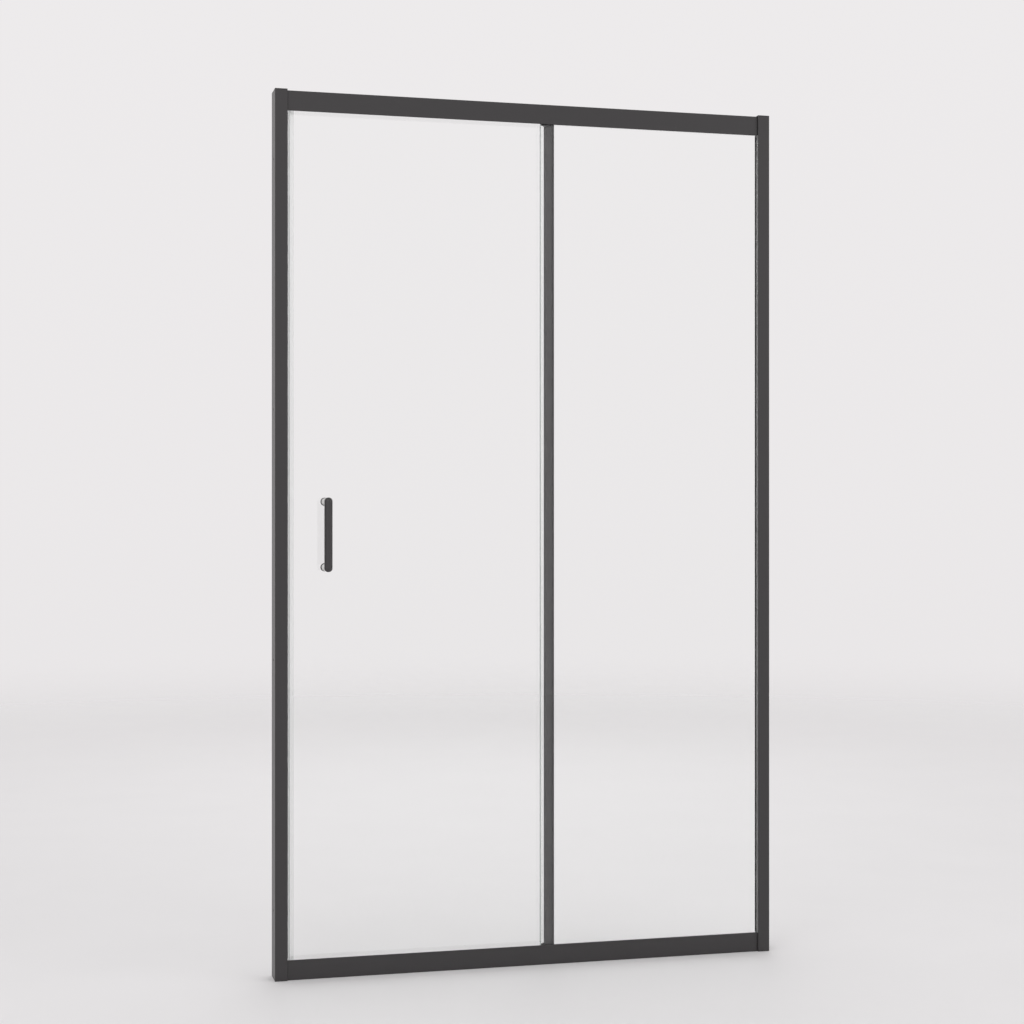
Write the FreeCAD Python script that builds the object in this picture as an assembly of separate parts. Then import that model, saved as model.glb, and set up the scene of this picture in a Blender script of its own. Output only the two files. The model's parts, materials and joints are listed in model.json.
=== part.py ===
import FreeCAD
import Part
import math
import os

from FreeCAD import Vector

# Sliding shower door for the gap between two walls.
# Millimetres. X runs along the door as seen from outside, with the closing side at minus X.
# Y runs from outside into the shower. Z is up. The origin is the middle of the sill's underside.

# Overall sizes
overall_width = 1154.0
overall_height = 1950.0

# Wall channels, one on each wall
channel_depth = 56.0
channel_wall = 2.0
channel_front_leg = 27.5
channel_rear_leg = 13.5
channel_edge_radius = 0.8
channel_cap_thickness = 2.0

# Screw holes to the walls, in one line up each channel
wall_hole_radius = 2.75
wall_hole_count = 4
wall_hole_end_distance = 150.0
wall_screw_head_room_radius = 6.0

# Side profiles that nest in the channels
nest_clearance = 0.3
profile_wall = 2.0
profile_front_setback = 1.5
profile_top_clearance = 0.5

# Screws that hold each side profile in its channel, put in from the shower side
profile_screw_count = 3
profile_screw_end_distance = 200.0
profile_screw_edge_distance = 8.3
profile_screw_radius = 1.75
profile_screw_length = 9.0
profile_screw_head_radius = 3.5
profile_screw_head_height = 2.2
profile_screw_cap_radius = 5.0
profile_screw_cap_height = 3.2
profile_screw_cap_wall = 0.8

# Rails
rail_height = 44.0
rail_wall = 2.0
rail_side_clearance = 0.2
rail_end_clearance = 0.2
rail_edge_radius = 1.0
rail_notch_clearance = 0.3
top_web_rise = 3.5
bottom_web_height = 38.0
sill_rear_height = 30.0
screw_boss_side = 6.4

# Track for the hanger wheels, inside the top rail
track_rise = 10.5
bead_height = 6.0
bead_width = 2.4

# Fin for the guide wheels, inside the sill
fin_height = 11.5

# Water slots in the sill
weep_slot_count = 4
weep_slot_length = 20.0
weep_slot_height = 4.0

# Screws through the side profiles into the ends of the rails
end_screw_radius = 1.95
end_screw_length = 20.0
end_screw_head_radius = 3.8

# Glass
glass_thickness = 6.0
glass_edge_chamfer = 0.5
front_gasket = 2.0
rear_gasket = 2.5
gasket_depth = 12.0
gasket_inset = 0.3

# Fixed pane
pane_edge_x = 26.0
pane_side_gap = 3.0
pane_top_cover = 31.5
setting_block_length = 60.0
setting_block_thickness = 3.6
setting_block_side_clearance = 0.5
setting_block_end_distance = 90.0
edge_seal_wall = 0.8
edge_seal_cover = 5.0
edge_seal_end_gap = 0.5

# Glazing pocket of the right side profile
pocket_lip_setback = 0.2
pocket_depth = 16.7
pocket_wall = 2.0
wedge_bulge = 1.5
rear_bulge = 2.8

# Splash blocks beside the fixed pane's edge, one on each rail
splash_block_start = 2.0
splash_block_length = 11.5
splash_block_rise = 4.8
splash_block_start_rise = 0.5
splash_block_root = 9.0
splash_block_pane_gap = 0.2
splash_block_overhang = 0.7

# Closing chamber and seal of the left side profile
chamber_half_width = 10.0
chamber_wall = 2.0
chamber_reach = 17.7
seal_groove_half_width = 2.0
seal_root_half_width = 1.7
seal_barb_half_width = 3.2
seal_barb_thickness = 1.2
seal_flange_half_width = 7.0
seal_flange_thickness = 1.5
seal_bulb_half_width = 4.5
seal_wall = 0.8
closing_gap = 0.3

# Sliding door
door_front_gap = 6.0
door_lead_gap = 8.0
door_bottom_gap = 10.0
open_hand_room = 15.7
running_clearance = 0.3
fit_clearance = 0.05

# Leading seal of the door
lead_seal_wall = 1.0
lead_seal_leg = 0.9
lead_seal_cover = 8.5
lead_seal_nose = 2.8
lead_seal_nose_half_width = 2.4

# Trailing stile of the door
stile_overlap = 13.2
stile_glass_cover = 10.8
stile_width = 21.3
stile_depth = 15.0
stile_wall = 2.0
stile_edge_radius = 0.8
stile_pocket_end_gap = 2.0
stile_top_gap = 0.3
stile_cap_thickness = 2.0
stile_cap_plug = 5.0
stile_cap_plug_clearance = 0.3
stile_gasket_base = 1.5
stile_gasket_inset = 0.3
brush_slot_from_end = 2.9
brush_slot_width = 1.8
brush_slot_lip = 1.5
brush_back_width = 4.6
brush_back_thickness = 1.6
brush_pile_clearance = 0.1

# Clamp fixings of the hangers and guides, through holes in the glass
glass_hole_radius = 5.0
bush_flange_radius = 7.5
bush_flange_thickness = 0.8
clamp_screw_radius = 2.5
clamp_head_radius = 5.0
clamp_head_depth = 2.5
clamp_disc_radius = 8.0
clamp_disc_thickness = 3.0
clamp_disc_chamfer = 0.6
clamp_socket_radius = 1.5
clamp_socket_depth = 1.6
clamp_screw_end_gap = 0.2

# Hangers at the top of the door
hanger_end_distance = 70.0
hanger_half_length = 32.0
hanger_corner_radius = 6.0
hanger_plate_thickness = 3.0
hanger_hole_drop = 9.0
hanger_hole_to_glass_edge = 16.0
hanger_plate_below_hole = 9.0
hanger_plate_above_axle = 6.5
hanger_wheel_spacing = 40.0
hanger_wheel_gap = 1.0
wheel_width = 6.4
top_wheel_rim_radius = 11.0
top_wheel_groove_radius = 9.0
wheel_axle_radius = 2.5
wheel_recess_depth = 1.0
wheel_hub_radius = 4.6
wheel_rim_wall = 1.6
axle_shoulder_radius = 3.8
axle_head_radius = 3.6
axle_head_thickness = 1.0
track_front_gap = 1.7

# Stops at the two ends of the track
stop_length = 13.0
stop_height = 20.0
stop_rear_gap = 1.5
stop_front_gap = 0.2
stop_arm_height = 10.0
stop_arm_gap = 0.6
stop_bumper_length = 3.2
stop_screw_radius = 2.0
stop_screw_head_radius = 3.5
stop_screw_head_height = 2.2
stop_screw_tail = 1.0

# Guides at the foot of the door
guide_half_length = 26.0
guide_plate_thickness = 3.0
guide_hole_height = 12.0
guide_foot_thickness = 1.3
guide_foot_gap = 0.2
guide_foot_reach = 5.5
guide_wall = 2.5
guide_wall_gap = 0.7
guide_ledge = 2.0
guide_ledge_start = 12.7
guide_lip = 1.5
guide_lip_reach = 6.0
guide_hook = 1.0
guide_wheel_rim_radius = 9.0
guide_wheel_groove_radius = 7.5
guide_axle_radius = 2.0
guide_axle_head_radius = 3.5
guide_release_travel = 5.5
plunger_half_width = 22.0
plunger_thickness = 2.0
plunger_wheel_gap = 0.4
plunger_top = 29.0
plunger_ear_height = 3.0
plunger_ear_start = 13.5
plunger_ear_front_gap = 1.2
plunger_ear_depth = 5.0
plunger_neck_end = 19.5
tab_half_width = 7.0
tab_thickness = 2.4
tab_height = 11.0
tab_overtop = 4.0
spring_place = 18.3
spring_coil_radius = 2.3
spring_wire_radius = 0.35
spring_end_gap = 0.1
spring_closed_room = 6.5
spring_turns = 4

# Door handle
handle_setback = 78.0
handle_bar_overhang = 9.0
handle_radius = 9.0
handle_end_radius = 8.2
handle_bar_distance = 50.0
handle_spacing = 145.0
handle_height = 975.0
post_radius = 8.0
handle_washer_radius = 8.3
handle_washer_thickness = 1.0
handle_hole_radius = 6.0
handle_screw_radius = 3.0
handle_screw_reach = 18.0
handle_screw_end_room = 2.0
handle_disc_radius = 9.0
handle_disc_thickness = 3.0
handle_head_radius = 5.5
handle_head_height = 3.0
handle_head_round = 1.6

# One overrun for every cut that passes through a face, and how close an edge lies to a named place
overrun = 5.0
pick_tolerance = 0.02

# Planes through the depth of the frame, from the outside in
half_width = overall_width / 2
half_depth = channel_depth / 2
profile_half_depth = half_depth - channel_wall - nest_clearance
rail_half_depth = profile_half_depth - profile_wall - rail_side_clearance
rail_front_y = -rail_half_depth
rail_rear_y = rail_half_depth
pane_front_y = rail_front_y + rail_wall + front_gasket
pane_rear_y = pane_front_y + glass_thickness
web_front_y = pane_rear_y + rear_gasket
web_rear_y = web_front_y + rail_wall
door_front_y = web_rear_y + door_front_gap
door_rear_y = door_front_y + glass_thickness
door_mid_y = (door_front_y + door_rear_y) / 2
hanger_front_y = door_rear_y + bush_flange_thickness
hanger_rear_y = hanger_front_y + hanger_plate_thickness
wheel_front_y = hanger_rear_y + hanger_wheel_gap
wheel_mid_y = wheel_front_y + wheel_width / 2
wheel_rear_y = wheel_front_y + wheel_width
track_front_y = hanger_rear_y + track_front_gap
guide_front_y = hanger_front_y
guide_rear_y = guide_front_y + guide_plate_thickness
plunger_front_y = wheel_rear_y + plunger_wheel_gap
plunger_rear_y = plunger_front_y + plunger_thickness
post_front_y = door_front_y - handle_washer_thickness
handle_mid_y = door_front_y - handle_bar_distance

ear_front_y = guide_rear_y + plunger_ear_front_gap
ear_rear_y = ear_front_y + plunger_ear_depth
guide_wall_rear_y = plunger_front_y - 2 * running_clearance

# Levels, from the floor up
channel_top = overall_height - channel_cap_thickness
frame_top = channel_top - profile_top_clearance
top_rail_bottom = frame_top - rail_height
boss_top = rail_wall + screw_boss_side
pane_bottom = boss_top + setting_block_thickness
pane_top = top_rail_bottom + pane_top_cover
door_bottom = rail_wall + door_bottom_gap
fin_top = rail_wall + fin_height
guide_axle_z = fin_top + running_clearance + guide_wheel_groove_radius
guide_hole_z = door_bottom + guide_hole_height
guide_lip_bottom = fin_top + guide_wall_gap
ear_bottom = guide_lip_bottom + guide_lip + running_clearance
ear_top = ear_bottom + plunger_ear_height
ledge_bottom = ear_top + guide_release_travel + spring_closed_room
guide_plate_top = ledge_bottom + guide_ledge
track_bottom = top_rail_bottom + track_rise
track_top = track_bottom + rail_wall
bead_top = track_top + bead_height
hanger_axle_z = bead_top + running_clearance + top_wheel_groove_radius
hanger_hole_z = hanger_axle_z - hanger_hole_drop
door_top = hanger_hole_z + hanger_hole_to_glass_edge
stile_top = track_bottom - stile_top_gap - stile_cap_thickness
stile_bottom = door_bottom + stile_cap_thickness
profile_inner_bottom = rail_height + rail_notch_clearance
profile_inner_top = top_rail_bottom - rail_notch_clearance

# Places along the width
profile_back_x = half_width - channel_wall - nest_clearance
profile_inner_x = profile_back_x - profile_wall
rail_end_x = profile_inner_x - rail_end_clearance
channel_edge_x = half_width - channel_front_leg
profile_edge_x = channel_edge_x + profile_front_setback
profile_rear_edge_x = half_width - channel_rear_leg
pocket_edge_x = channel_edge_x - pocket_lip_setback
pocket_floor_x = pocket_edge_x + pocket_depth
pane_end_x = pocket_floor_x - pane_side_gap
stile_start_x = pane_edge_x + stile_overlap
door_lead_edge_x = -channel_edge_x + door_lead_gap
door_trail_edge_x = stile_start_x + stile_glass_cover
hanger_xs = (door_lead_edge_x + hanger_end_distance, door_trail_edge_x - hanger_end_distance)
handle_x = door_lead_edge_x + handle_setback
door_travel = pane_edge_x - edge_seal_wall - open_hand_room - (handle_x + post_radius)
handle_zs = (handle_height - handle_spacing / 2, handle_height + handle_spacing / 2)
handle_bar_zs = (handle_zs[0] - handle_bar_overhang, handle_zs[1] + handle_bar_overhang)
guide_wall_inner = guide_half_length - guide_wall
stile_pocket_end_x = door_trail_edge_x + stile_pocket_end_gap
stile_end_x = stile_start_x + stile_width
brush_slot_end_x = stile_end_x - brush_slot_from_end
brush_slot_mid_x = brush_slot_end_x - brush_slot_width / 2
splash_start_x = pane_edge_x + splash_block_start
splash_end_x = splash_start_x + splash_block_length
wall_hole_pitch = (overall_height - 2 * wall_hole_end_distance) / (wall_hole_count - 1)
profile_screw_pitch = (overall_height - 2 * profile_screw_end_distance) / (profile_screw_count - 1)
wall_hole_zs = [wall_hole_end_distance + i * wall_hole_pitch for i in range(wall_hole_count)]
profile_screw_zs = [profile_screw_end_distance + i * profile_screw_pitch for i in range(profile_screw_count)]


def box(x0, x1, y0, y1, z0, z1):
    """A block between two values on each axis, given in either order."""
    low = Vector(min(x0, x1), min(y0, y1), min(z0, z1))
    return Part.makeBox(abs(x1 - x0), abs(y1 - y0), abs(z1 - z0), low)


def rod_x(radius, x0, x1, y, z):
    """A cylinder along X."""
    start = Vector(min(x0, x1), y, z)
    return Part.makeCylinder(radius, abs(x1 - x0), start, Vector(1, 0, 0))


def rod_y(radius, y0, y1, x, z):
    """A cylinder along Y."""
    start = Vector(x, min(y0, y1), z)
    return Part.makeCylinder(radius, abs(y1 - y0), start, Vector(0, 1, 0))


def rod_z(radius, z0, z1, x, y):
    """A cylinder along Z."""
    start = Vector(x, y, min(z0, z1))
    return Part.makeCylinder(radius, abs(z1 - z0), start, Vector(0, 0, 1))


def cone_y(radius0, radius1, y0, y1, x, z):
    """A cone along Y, radius0 at y0 and radius1 at y1."""
    return Part.makeCone(radius0, radius1, y1 - y0, Vector(x, y0, z), Vector(0, 1, 0))


def joined(shapes):
    """One solid from shapes that touch or overlap."""
    first = shapes[0]
    return first.fuse(shapes[1:]).removeSplitter()


def soften(shape, radius, wanted):
    """Round the edges for which wanted(edge) is true."""
    edges = [edge for edge in shape.Edges if wanted(edge)]
    return shape.makeFillet(radius, edges)


def lies_at(edge, places):
    """True where every end of the edge has one of the named places, as {axis: value}."""
    for axis, value in places.items():
        for vertex in edge.Vertexes:
            if abs(getattr(vertex, axis) - value) > pick_tolerance:
                return False
    return True


def save(name, *solids):
    """Write one node, as one solid or as a group of separate ones."""
    shape = solids[0] if len(solids) == 1 else Part.makeCompound(list(solids))
    for solid in shape.Solids:
        if not solid.isValid():
            print("not valid:", name)
    shape.exportStep("parts/%s.step" % name)
    print("%-24s solids %d  volume %.0f" % (name, len(shape.Solids), shape.Volume))


# Wall channels and their caps

def wall_channel(side):
    """U section against one wall. side is -1 on the closing side and +1 on the pane's side."""
    wall_x = side * half_width
    base = box(wall_x, wall_x - side * channel_wall, -half_depth, half_depth, 0, channel_top)
    front = box(wall_x, side * channel_edge_x, -half_depth, -half_depth + channel_wall, 0, channel_top)
    rear = box(wall_x, side * profile_rear_edge_x, half_depth - channel_wall, half_depth, 0, channel_top)
    channel = joined([base, front, rear])
    outer_corner = {"X": side * channel_edge_x, "Y": -half_depth}
    channel = soften(channel, channel_edge_radius, lambda edge: lies_at(edge, outer_corner))
    for z in wall_hole_zs:
        hole_end = wall_x - side * (channel_wall + nest_clearance / 2)
        channel = channel.cut(rod_x(wall_hole_radius, wall_x + side * overrun, hole_end, 0, z))
    for z in profile_screw_zs:
        x = wall_x - side * profile_screw_edge_distance
        hole = rod_y(profile_screw_radius + fit_clearance, half_depth - channel_wall - nest_clearance / 2,
                     half_depth + overrun, x, z)
        channel = channel.cut(hole)
    return channel


def channel_cap(side):
    """Plate that closes the top of a channel."""
    cap = box(side * half_width, side * channel_edge_x, -half_depth, half_depth, channel_top, overall_height)
    outer_corner = {"X": side * channel_edge_x, "Y": -half_depth}
    return soften(cap, channel_edge_radius, lambda edge: lies_at(edge, outer_corner))


# Side profiles

def end_screw_places():
    """Middles of the screw bosses, as (y, z), for both rails."""
    half_boss = screw_boss_side / 2
    pocket_y = (rail_front_y + rail_wall + web_front_y) / 2
    low_z = rail_wall + half_boss
    high_z = frame_top - rail_wall - half_boss
    top_rear_y = rail_rear_y - rail_wall - half_boss
    return {
        "bottom": [(pocket_y, low_z), (door_mid_y, low_z)],
        "top": [(pocket_y, high_z), (top_rear_y, high_z)],
    }


def end_screw(side, y, z, clearance):
    """Countersunk screw through a side profile into a rail, grown by a clearance for its hole."""
    direction = Vector(-side, 0, 0)
    start = Vector(side * profile_back_x, y, z)
    head = Part.makeCone(end_screw_head_radius + clearance, end_screw_radius + clearance,
                         profile_wall, start, direction)
    shank = Part.makeCylinder(end_screw_radius + clearance, end_screw_length, start, direction)
    return joined([head, shank])


def side_profile_shell(side):
    """Outer U of a side profile, full height, with its screw holes."""
    back_x = side * profile_back_x
    inner_x = side * profile_inner_x
    front_y = -profile_half_depth
    rear_y = profile_half_depth
    base = box(back_x, inner_x, front_y, rear_y, 0, frame_top)
    front = box(back_x, side * profile_edge_x, front_y, front_y + profile_wall, 0, frame_top)
    rear = box(back_x, side * profile_rear_edge_x, rear_y - profile_wall, rear_y, 0, frame_top)
    shell = joined([base, front, rear])
    for z in wall_hole_zs:
        room = rod_x(wall_screw_head_room_radius, back_x + side * overrun,
                     inner_x - side * nest_clearance, 0, z)
        shell = shell.cut(room)
    for z in profile_screw_zs:
        x = side * (half_width - profile_screw_edge_distance)
        hole = rod_y(profile_screw_radius + fit_clearance, rear_y - profile_wall - nest_clearance,
                     rear_y + overrun, x, z)
        shell = shell.cut(hole)
    for places in end_screw_places().values():
        for y, z in places:
            shell = shell.cut(end_screw(side, y, z, fit_clearance))
    return shell


def closing_profile():
    """Left side profile, with a chamber that carries the closing seal between the rails."""
    face_x = -profile_inner_x + chamber_reach
    low = profile_inner_bottom
    high = profile_inner_top
    chamber = box(-profile_inner_x, face_x, -chamber_half_width, chamber_half_width, low, high)
    hollow_half = chamber_half_width - chamber_wall
    hollow = box(-profile_inner_x, face_x - chamber_wall, -hollow_half, hollow_half, low, high)
    groove = box(face_x - chamber_wall - overrun, face_x + overrun,
                 -seal_groove_half_width, seal_groove_half_width, low, high)
    chamber = chamber.cut(hollow).cut(groove)
    return joined([side_profile_shell(-1), chamber])


def closing_seal():
    """Clear bulb seal that the door's leading edge closes on."""
    face_x = -profile_inner_x + chamber_reach
    low = profile_inner_bottom
    high = profile_inner_top
    inside_x = face_x - chamber_wall
    bulb_start_x = face_x + seal_flange_thickness
    bulb_end_x = door_lead_edge_x - lead_seal_wall - lead_seal_nose - closing_gap
    barb = box(inside_x - seal_barb_thickness - gasket_inset, inside_x - gasket_inset,
               -seal_barb_half_width, seal_barb_half_width, low, high)
    root = box(inside_x - gasket_inset, face_x, -seal_root_half_width, seal_root_half_width, low, high)
    flange = box(face_x, bulb_start_x, -seal_flange_half_width, seal_flange_half_width, low, high)
    bulb = box(bulb_start_x, bulb_end_x, -seal_bulb_half_width, seal_bulb_half_width, low, high)
    bulb_hollow = box(bulb_start_x, bulb_end_x - seal_wall, -seal_bulb_half_width + seal_wall,
                      seal_bulb_half_width - seal_wall, low, high)
    return joined([barb, root, flange, bulb.cut(bulb_hollow)])


def glazing_profile():
    """Right side profile, with the pocket that holds the fixed pane between the rails."""
    low = profile_inner_bottom
    high = profile_inner_top
    flange_y = -profile_half_depth + profile_wall
    pocket_front_y = rail_front_y + rail_wall
    floor_end_x = pocket_floor_x + pocket_wall
    front = box(profile_edge_x, floor_end_x, flange_y, pocket_front_y, low, high)
    floor = box(pocket_floor_x, floor_end_x, flange_y, web_rear_y, low, high)
    rear = box(pocket_edge_x, floor_end_x, web_front_y, web_rear_y, low, high)
    strut_y = (pane_front_y + pane_rear_y) / 2
    strut = box(floor_end_x, profile_inner_x, strut_y - pocket_wall / 2, strut_y + pocket_wall / 2, low, high)
    return joined([side_profile_shell(1), front, floor, rear, strut])


def side_glazing_wedge():
    """Clear wedge pressed in front of the pane at the right side profile."""
    low = profile_inner_bottom
    high = profile_inner_top
    root = box(channel_edge_x + profile_front_setback, channel_edge_x + gasket_depth,
               rail_front_y + rail_wall, pane_front_y, low, high)
    bulge = box(channel_edge_x - wedge_bulge, profile_edge_x,
                -half_depth + channel_wall, pane_front_y, low, high)
    outer_corner = {"X": channel_edge_x - wedge_bulge, "Y": -half_depth + channel_wall}
    bulge = soften(bulge, wedge_bulge / 2, lambda edge: lies_at(edge, outer_corner))
    return joined([root, bulge])


def side_glazing_gasket():
    """Black gasket behind the pane at the right side profile."""
    low = profile_inner_bottom
    high = profile_inner_top
    return box(channel_edge_x - rear_bulge, channel_edge_x + gasket_depth, pane_rear_y, web_front_y,
               low, high)


# Rails

def screw_bosses(places):
    """Square bosses along a rail, bored for the end screws."""
    bosses = []
    half_boss = screw_boss_side / 2
    for y, z in places:
        boss = box(-rail_end_x, rail_end_x, y - half_boss, y + half_boss, z - half_boss, z + half_boss)
        bosses.append(boss)
    return bosses


def bored(rail, places):
    """The rail with the end screws' holes at both ends."""
    for side in (-1, 1):
        for y, z in places:
            rail = rail.cut(end_screw(side, y, z, fit_clearance))
    return rail


def round_bead(top, y):
    """A rib along the rail whose top edge is round."""
    half = bead_width / 2
    stem = box(-rail_end_x, rail_end_x, y - half, y + half, track_bottom, top - half)
    crown = rod_x(half, -rail_end_x, rail_end_x, y, top - half)
    return stem, crown


def top_rail():
    """Head rail: front wall, glazing web, top, rear wall and the track with its bead."""
    low = top_rail_bottom
    high = frame_top
    start = -rail_end_x
    end = rail_end_x
    front = box(start, end, rail_front_y, rail_front_y + rail_wall, low, high)
    top = box(start, end, rail_front_y, rail_rear_y, high - rail_wall, high)
    rear = box(start, end, rail_rear_y - rail_wall, rail_rear_y, track_bottom, high)
    web = box(start, end, web_front_y, web_rear_y, low + top_web_rise, high)
    track = box(start, end, track_front_y, rail_rear_y, track_bottom, track_top)
    stem, crown = round_bead(bead_top, wheel_mid_y)
    places = end_screw_places()["top"]
    rail = joined([front, top, rear, web, track, stem, crown] + screw_bosses(places))
    for corner in ({"Y": rail_front_y, "Z": low}, {"Y": rail_front_y, "Z": high}):
        rail = soften(rail, rail_edge_radius, lambda edge: lies_at(edge, corner))
    for x in stop_screw_xs():
        hole = rod_z(stop_screw_radius + fit_clearance, track_bottom - overrun, track_top + fit_clearance,
                     x, stop_screw_y())
        rail = rail.cut(hole)
    return bored(rail, places)


def bottom_rail():
    """Sill: base, front wall, glazing web, rear wall and the fin for the guide wheels."""
    start = -rail_end_x
    end = rail_end_x
    half_fin = bead_width / 2
    base = box(start, end, rail_front_y, rail_rear_y, 0, rail_wall)
    front = box(start, end, rail_front_y, rail_front_y + rail_wall, 0, rail_height)
    web = box(start, end, web_front_y, web_rear_y, 0, bottom_web_height)
    rear = box(start, end, rail_rear_y - rail_wall, rail_rear_y, 0, sill_rear_height)
    fin = box(start, end, wheel_mid_y - half_fin, wheel_mid_y + half_fin, 0, fin_top - half_fin)
    crown = rod_x(half_fin, start, end, wheel_mid_y, fin_top - half_fin)
    places = end_screw_places()["bottom"]
    rail = joined([base, front, web, rear, fin, crown] + screw_bosses(places))
    corner = {"Y": rail_front_y, "Z": rail_height}
    rail = soften(rail, rail_edge_radius, lambda edge: lies_at(edge, corner))
    pitch = 2 * rail_end_x / weep_slot_count
    for i in range(weep_slot_count):
        x = start + (i + 1 / 2) * pitch
        slot = box(x - weep_slot_length / 2, x + weep_slot_length / 2, wheel_mid_y - bead_width,
                   rail_rear_y + overrun, rail_wall, rail_wall + weep_slot_height)
        rail = rail.cut(slot)
    return bored(rail, places)


def rail_end_screws():
    """Eight screws, two at each end of each rail."""
    screws = []
    for places in end_screw_places().values():
        for side in (-1, 1):
            for y, z in places:
                screws.append(end_screw(side, y, z, 0))
    return screws


def profile_screws():
    """Pan-head screws through the channels' rear legs into the side profiles."""
    screws = []
    for side in (-1, 1):
        x = side * (half_width - profile_screw_edge_distance)
        for z in profile_screw_zs:
            shank = rod_y(profile_screw_radius, half_depth - profile_screw_length, half_depth, x, z)
            head = rod_y(profile_screw_head_radius, half_depth, half_depth + profile_screw_head_height, x, z)
            screws.append(joined([shank, head]))
    return screws


def profile_screw_caps():
    """Round snap caps over the profile screws' heads."""
    caps = []
    inner_radius = profile_screw_cap_radius - profile_screw_cap_wall
    end_y = half_depth + profile_screw_cap_height
    for side in (-1, 1):
        x = side * (half_width - profile_screw_edge_distance)
        for z in profile_screw_zs:
            cap = rod_y(profile_screw_cap_radius, half_depth, end_y, x, z)
            rim = {"Y": end_y}
            cap = soften(cap, profile_screw_cap_wall, lambda edge: lies_at(edge, rim))
            inside = rod_y(inner_radius, half_depth, end_y - profile_screw_cap_wall, x, z)
            caps.append(cap.cut(inside))
    return caps


# Fixed pane

def glass_sheet(x0, x1, y0, y1, z0, z1):
    """A sheet of glass with its edges ground to a small chamfer."""
    sheet = box(x0, x1, y0, y1, z0, z1)
    around = []
    for edge in sheet.Edges:
        if lies_at(edge, {"Y": y0}) or lies_at(edge, {"Y": y1}):
            around.append(edge)
    return sheet.makeChamfer(glass_edge_chamfer, around)


def fixed_pane():
    """The right pane, which stays still and stands in front of the door's plane."""
    return glass_sheet(pane_edge_x, pane_end_x, pane_front_y, pane_rear_y, pane_bottom, pane_top)


def setting_blocks():
    """Two blocks under the fixed pane, on the sill's screw boss."""
    y0 = rail_front_y + rail_wall + setting_block_side_clearance
    y1 = web_front_y - setting_block_side_clearance
    blocks = []
    for x in (pane_edge_x + setting_block_end_distance, pane_end_x - setting_block_end_distance):
        x0 = x - setting_block_length / 2
        blocks.append(box(x0, x0 + setting_block_length, y0, y1, boss_top, pane_bottom))
    return blocks


def glazing_strips(front_z, rear_z, direction):
    """Gasket strips in front of and behind the fixed pane in one rail's pocket."""
    start = splash_end_x + gasket_inset
    end = rail_end_x
    front = box(pane_edge_x, end, rail_front_y + rail_wall, pane_front_y,
                front_z, front_z + direction * gasket_depth)
    rear = box(start, end, pane_rear_y, web_front_y, rear_z, rear_z + direction * gasket_depth)
    return front, rear


def pane_edge_seal():
    """Clear trim over the fixed pane's free edge."""
    low = rail_height + splash_block_rise + edge_seal_end_gap
    high = top_rail_bottom - splash_block_rise - edge_seal_end_gap
    outer = box(pane_edge_x - edge_seal_wall, pane_edge_x + edge_seal_cover,
                pane_front_y - edge_seal_wall, pane_rear_y + edge_seal_wall, low, high)
    inner = box(pane_edge_x, pane_edge_x + edge_seal_cover + overrun, pane_front_y, pane_rear_y, low, high)
    return outer.cut(inner)


def splash_block(rail_edge_z, web_edge_z, direction):
    """Wedge astride a rail's web beside the pane's free edge. direction is +1 on the sill."""
    front_y = pane_rear_y + splash_block_pane_gap
    rear_y = web_rear_y + splash_block_overhang
    low_z = rail_edge_z + direction * splash_block_start_rise
    high_z = rail_edge_z + direction * splash_block_rise
    root_z = web_edge_z - direction * splash_block_root
    corners = [
        Vector(splash_start_x, front_y, root_z),
        Vector(splash_end_x, front_y, root_z),
        Vector(splash_end_x, front_y, high_z),
        Vector(splash_start_x, front_y, low_z),
    ]
    outline = Part.makePolygon(corners + [corners[0]])
    block = Part.Face(outline).extrude(Vector(0, rear_y - front_y, 0))
    behind_web = box(splash_start_x - overrun, splash_end_x + overrun, web_front_y - fit_clearance,
                     rear_y + overrun, root_z - direction * overrun, web_edge_z + direction * fit_clearance)
    return block.cut(behind_web)


# Sliding door

def door_glass():
    """The door's sheet of glass, with holes for hangers, guides and handle."""
    sheet = glass_sheet(door_lead_edge_x, door_trail_edge_x, door_front_y, door_rear_y, door_bottom, door_top)
    y0 = door_front_y - overrun
    y1 = door_rear_y + overrun
    for x in hanger_xs:
        for z in (hanger_hole_z, guide_hole_z):
            sheet = sheet.cut(rod_y(glass_hole_radius, y0, y1, x, z))
    for z in handle_zs:
        sheet = sheet.cut(rod_y(handle_hole_radius, y0, y1, handle_x, z))
    return sheet


def leading_seal():
    """Clear seal on the leading edge: two legs over the glass and a hollow nose."""
    leg_end_x = door_lead_edge_x + lead_seal_cover
    base_x = door_lead_edge_x - lead_seal_wall
    nose_x = base_x - lead_seal_nose
    outer = box(base_x, leg_end_x, door_front_y - lead_seal_leg, door_rear_y + lead_seal_leg,
                door_bottom, stile_top)
    inner = box(door_lead_edge_x, leg_end_x + overrun, door_front_y, door_rear_y, door_bottom, stile_top)
    nose = box(nose_x, base_x, door_mid_y - lead_seal_nose_half_width,
               door_mid_y + lead_seal_nose_half_width, door_bottom, stile_top)
    hollow = box(nose_x + seal_wall, base_x, door_mid_y - lead_seal_nose_half_width + seal_wall,
                 door_mid_y + lead_seal_nose_half_width - seal_wall, door_bottom, stile_top)
    return joined([outer.cut(inner), nose.cut(hollow)])


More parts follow.
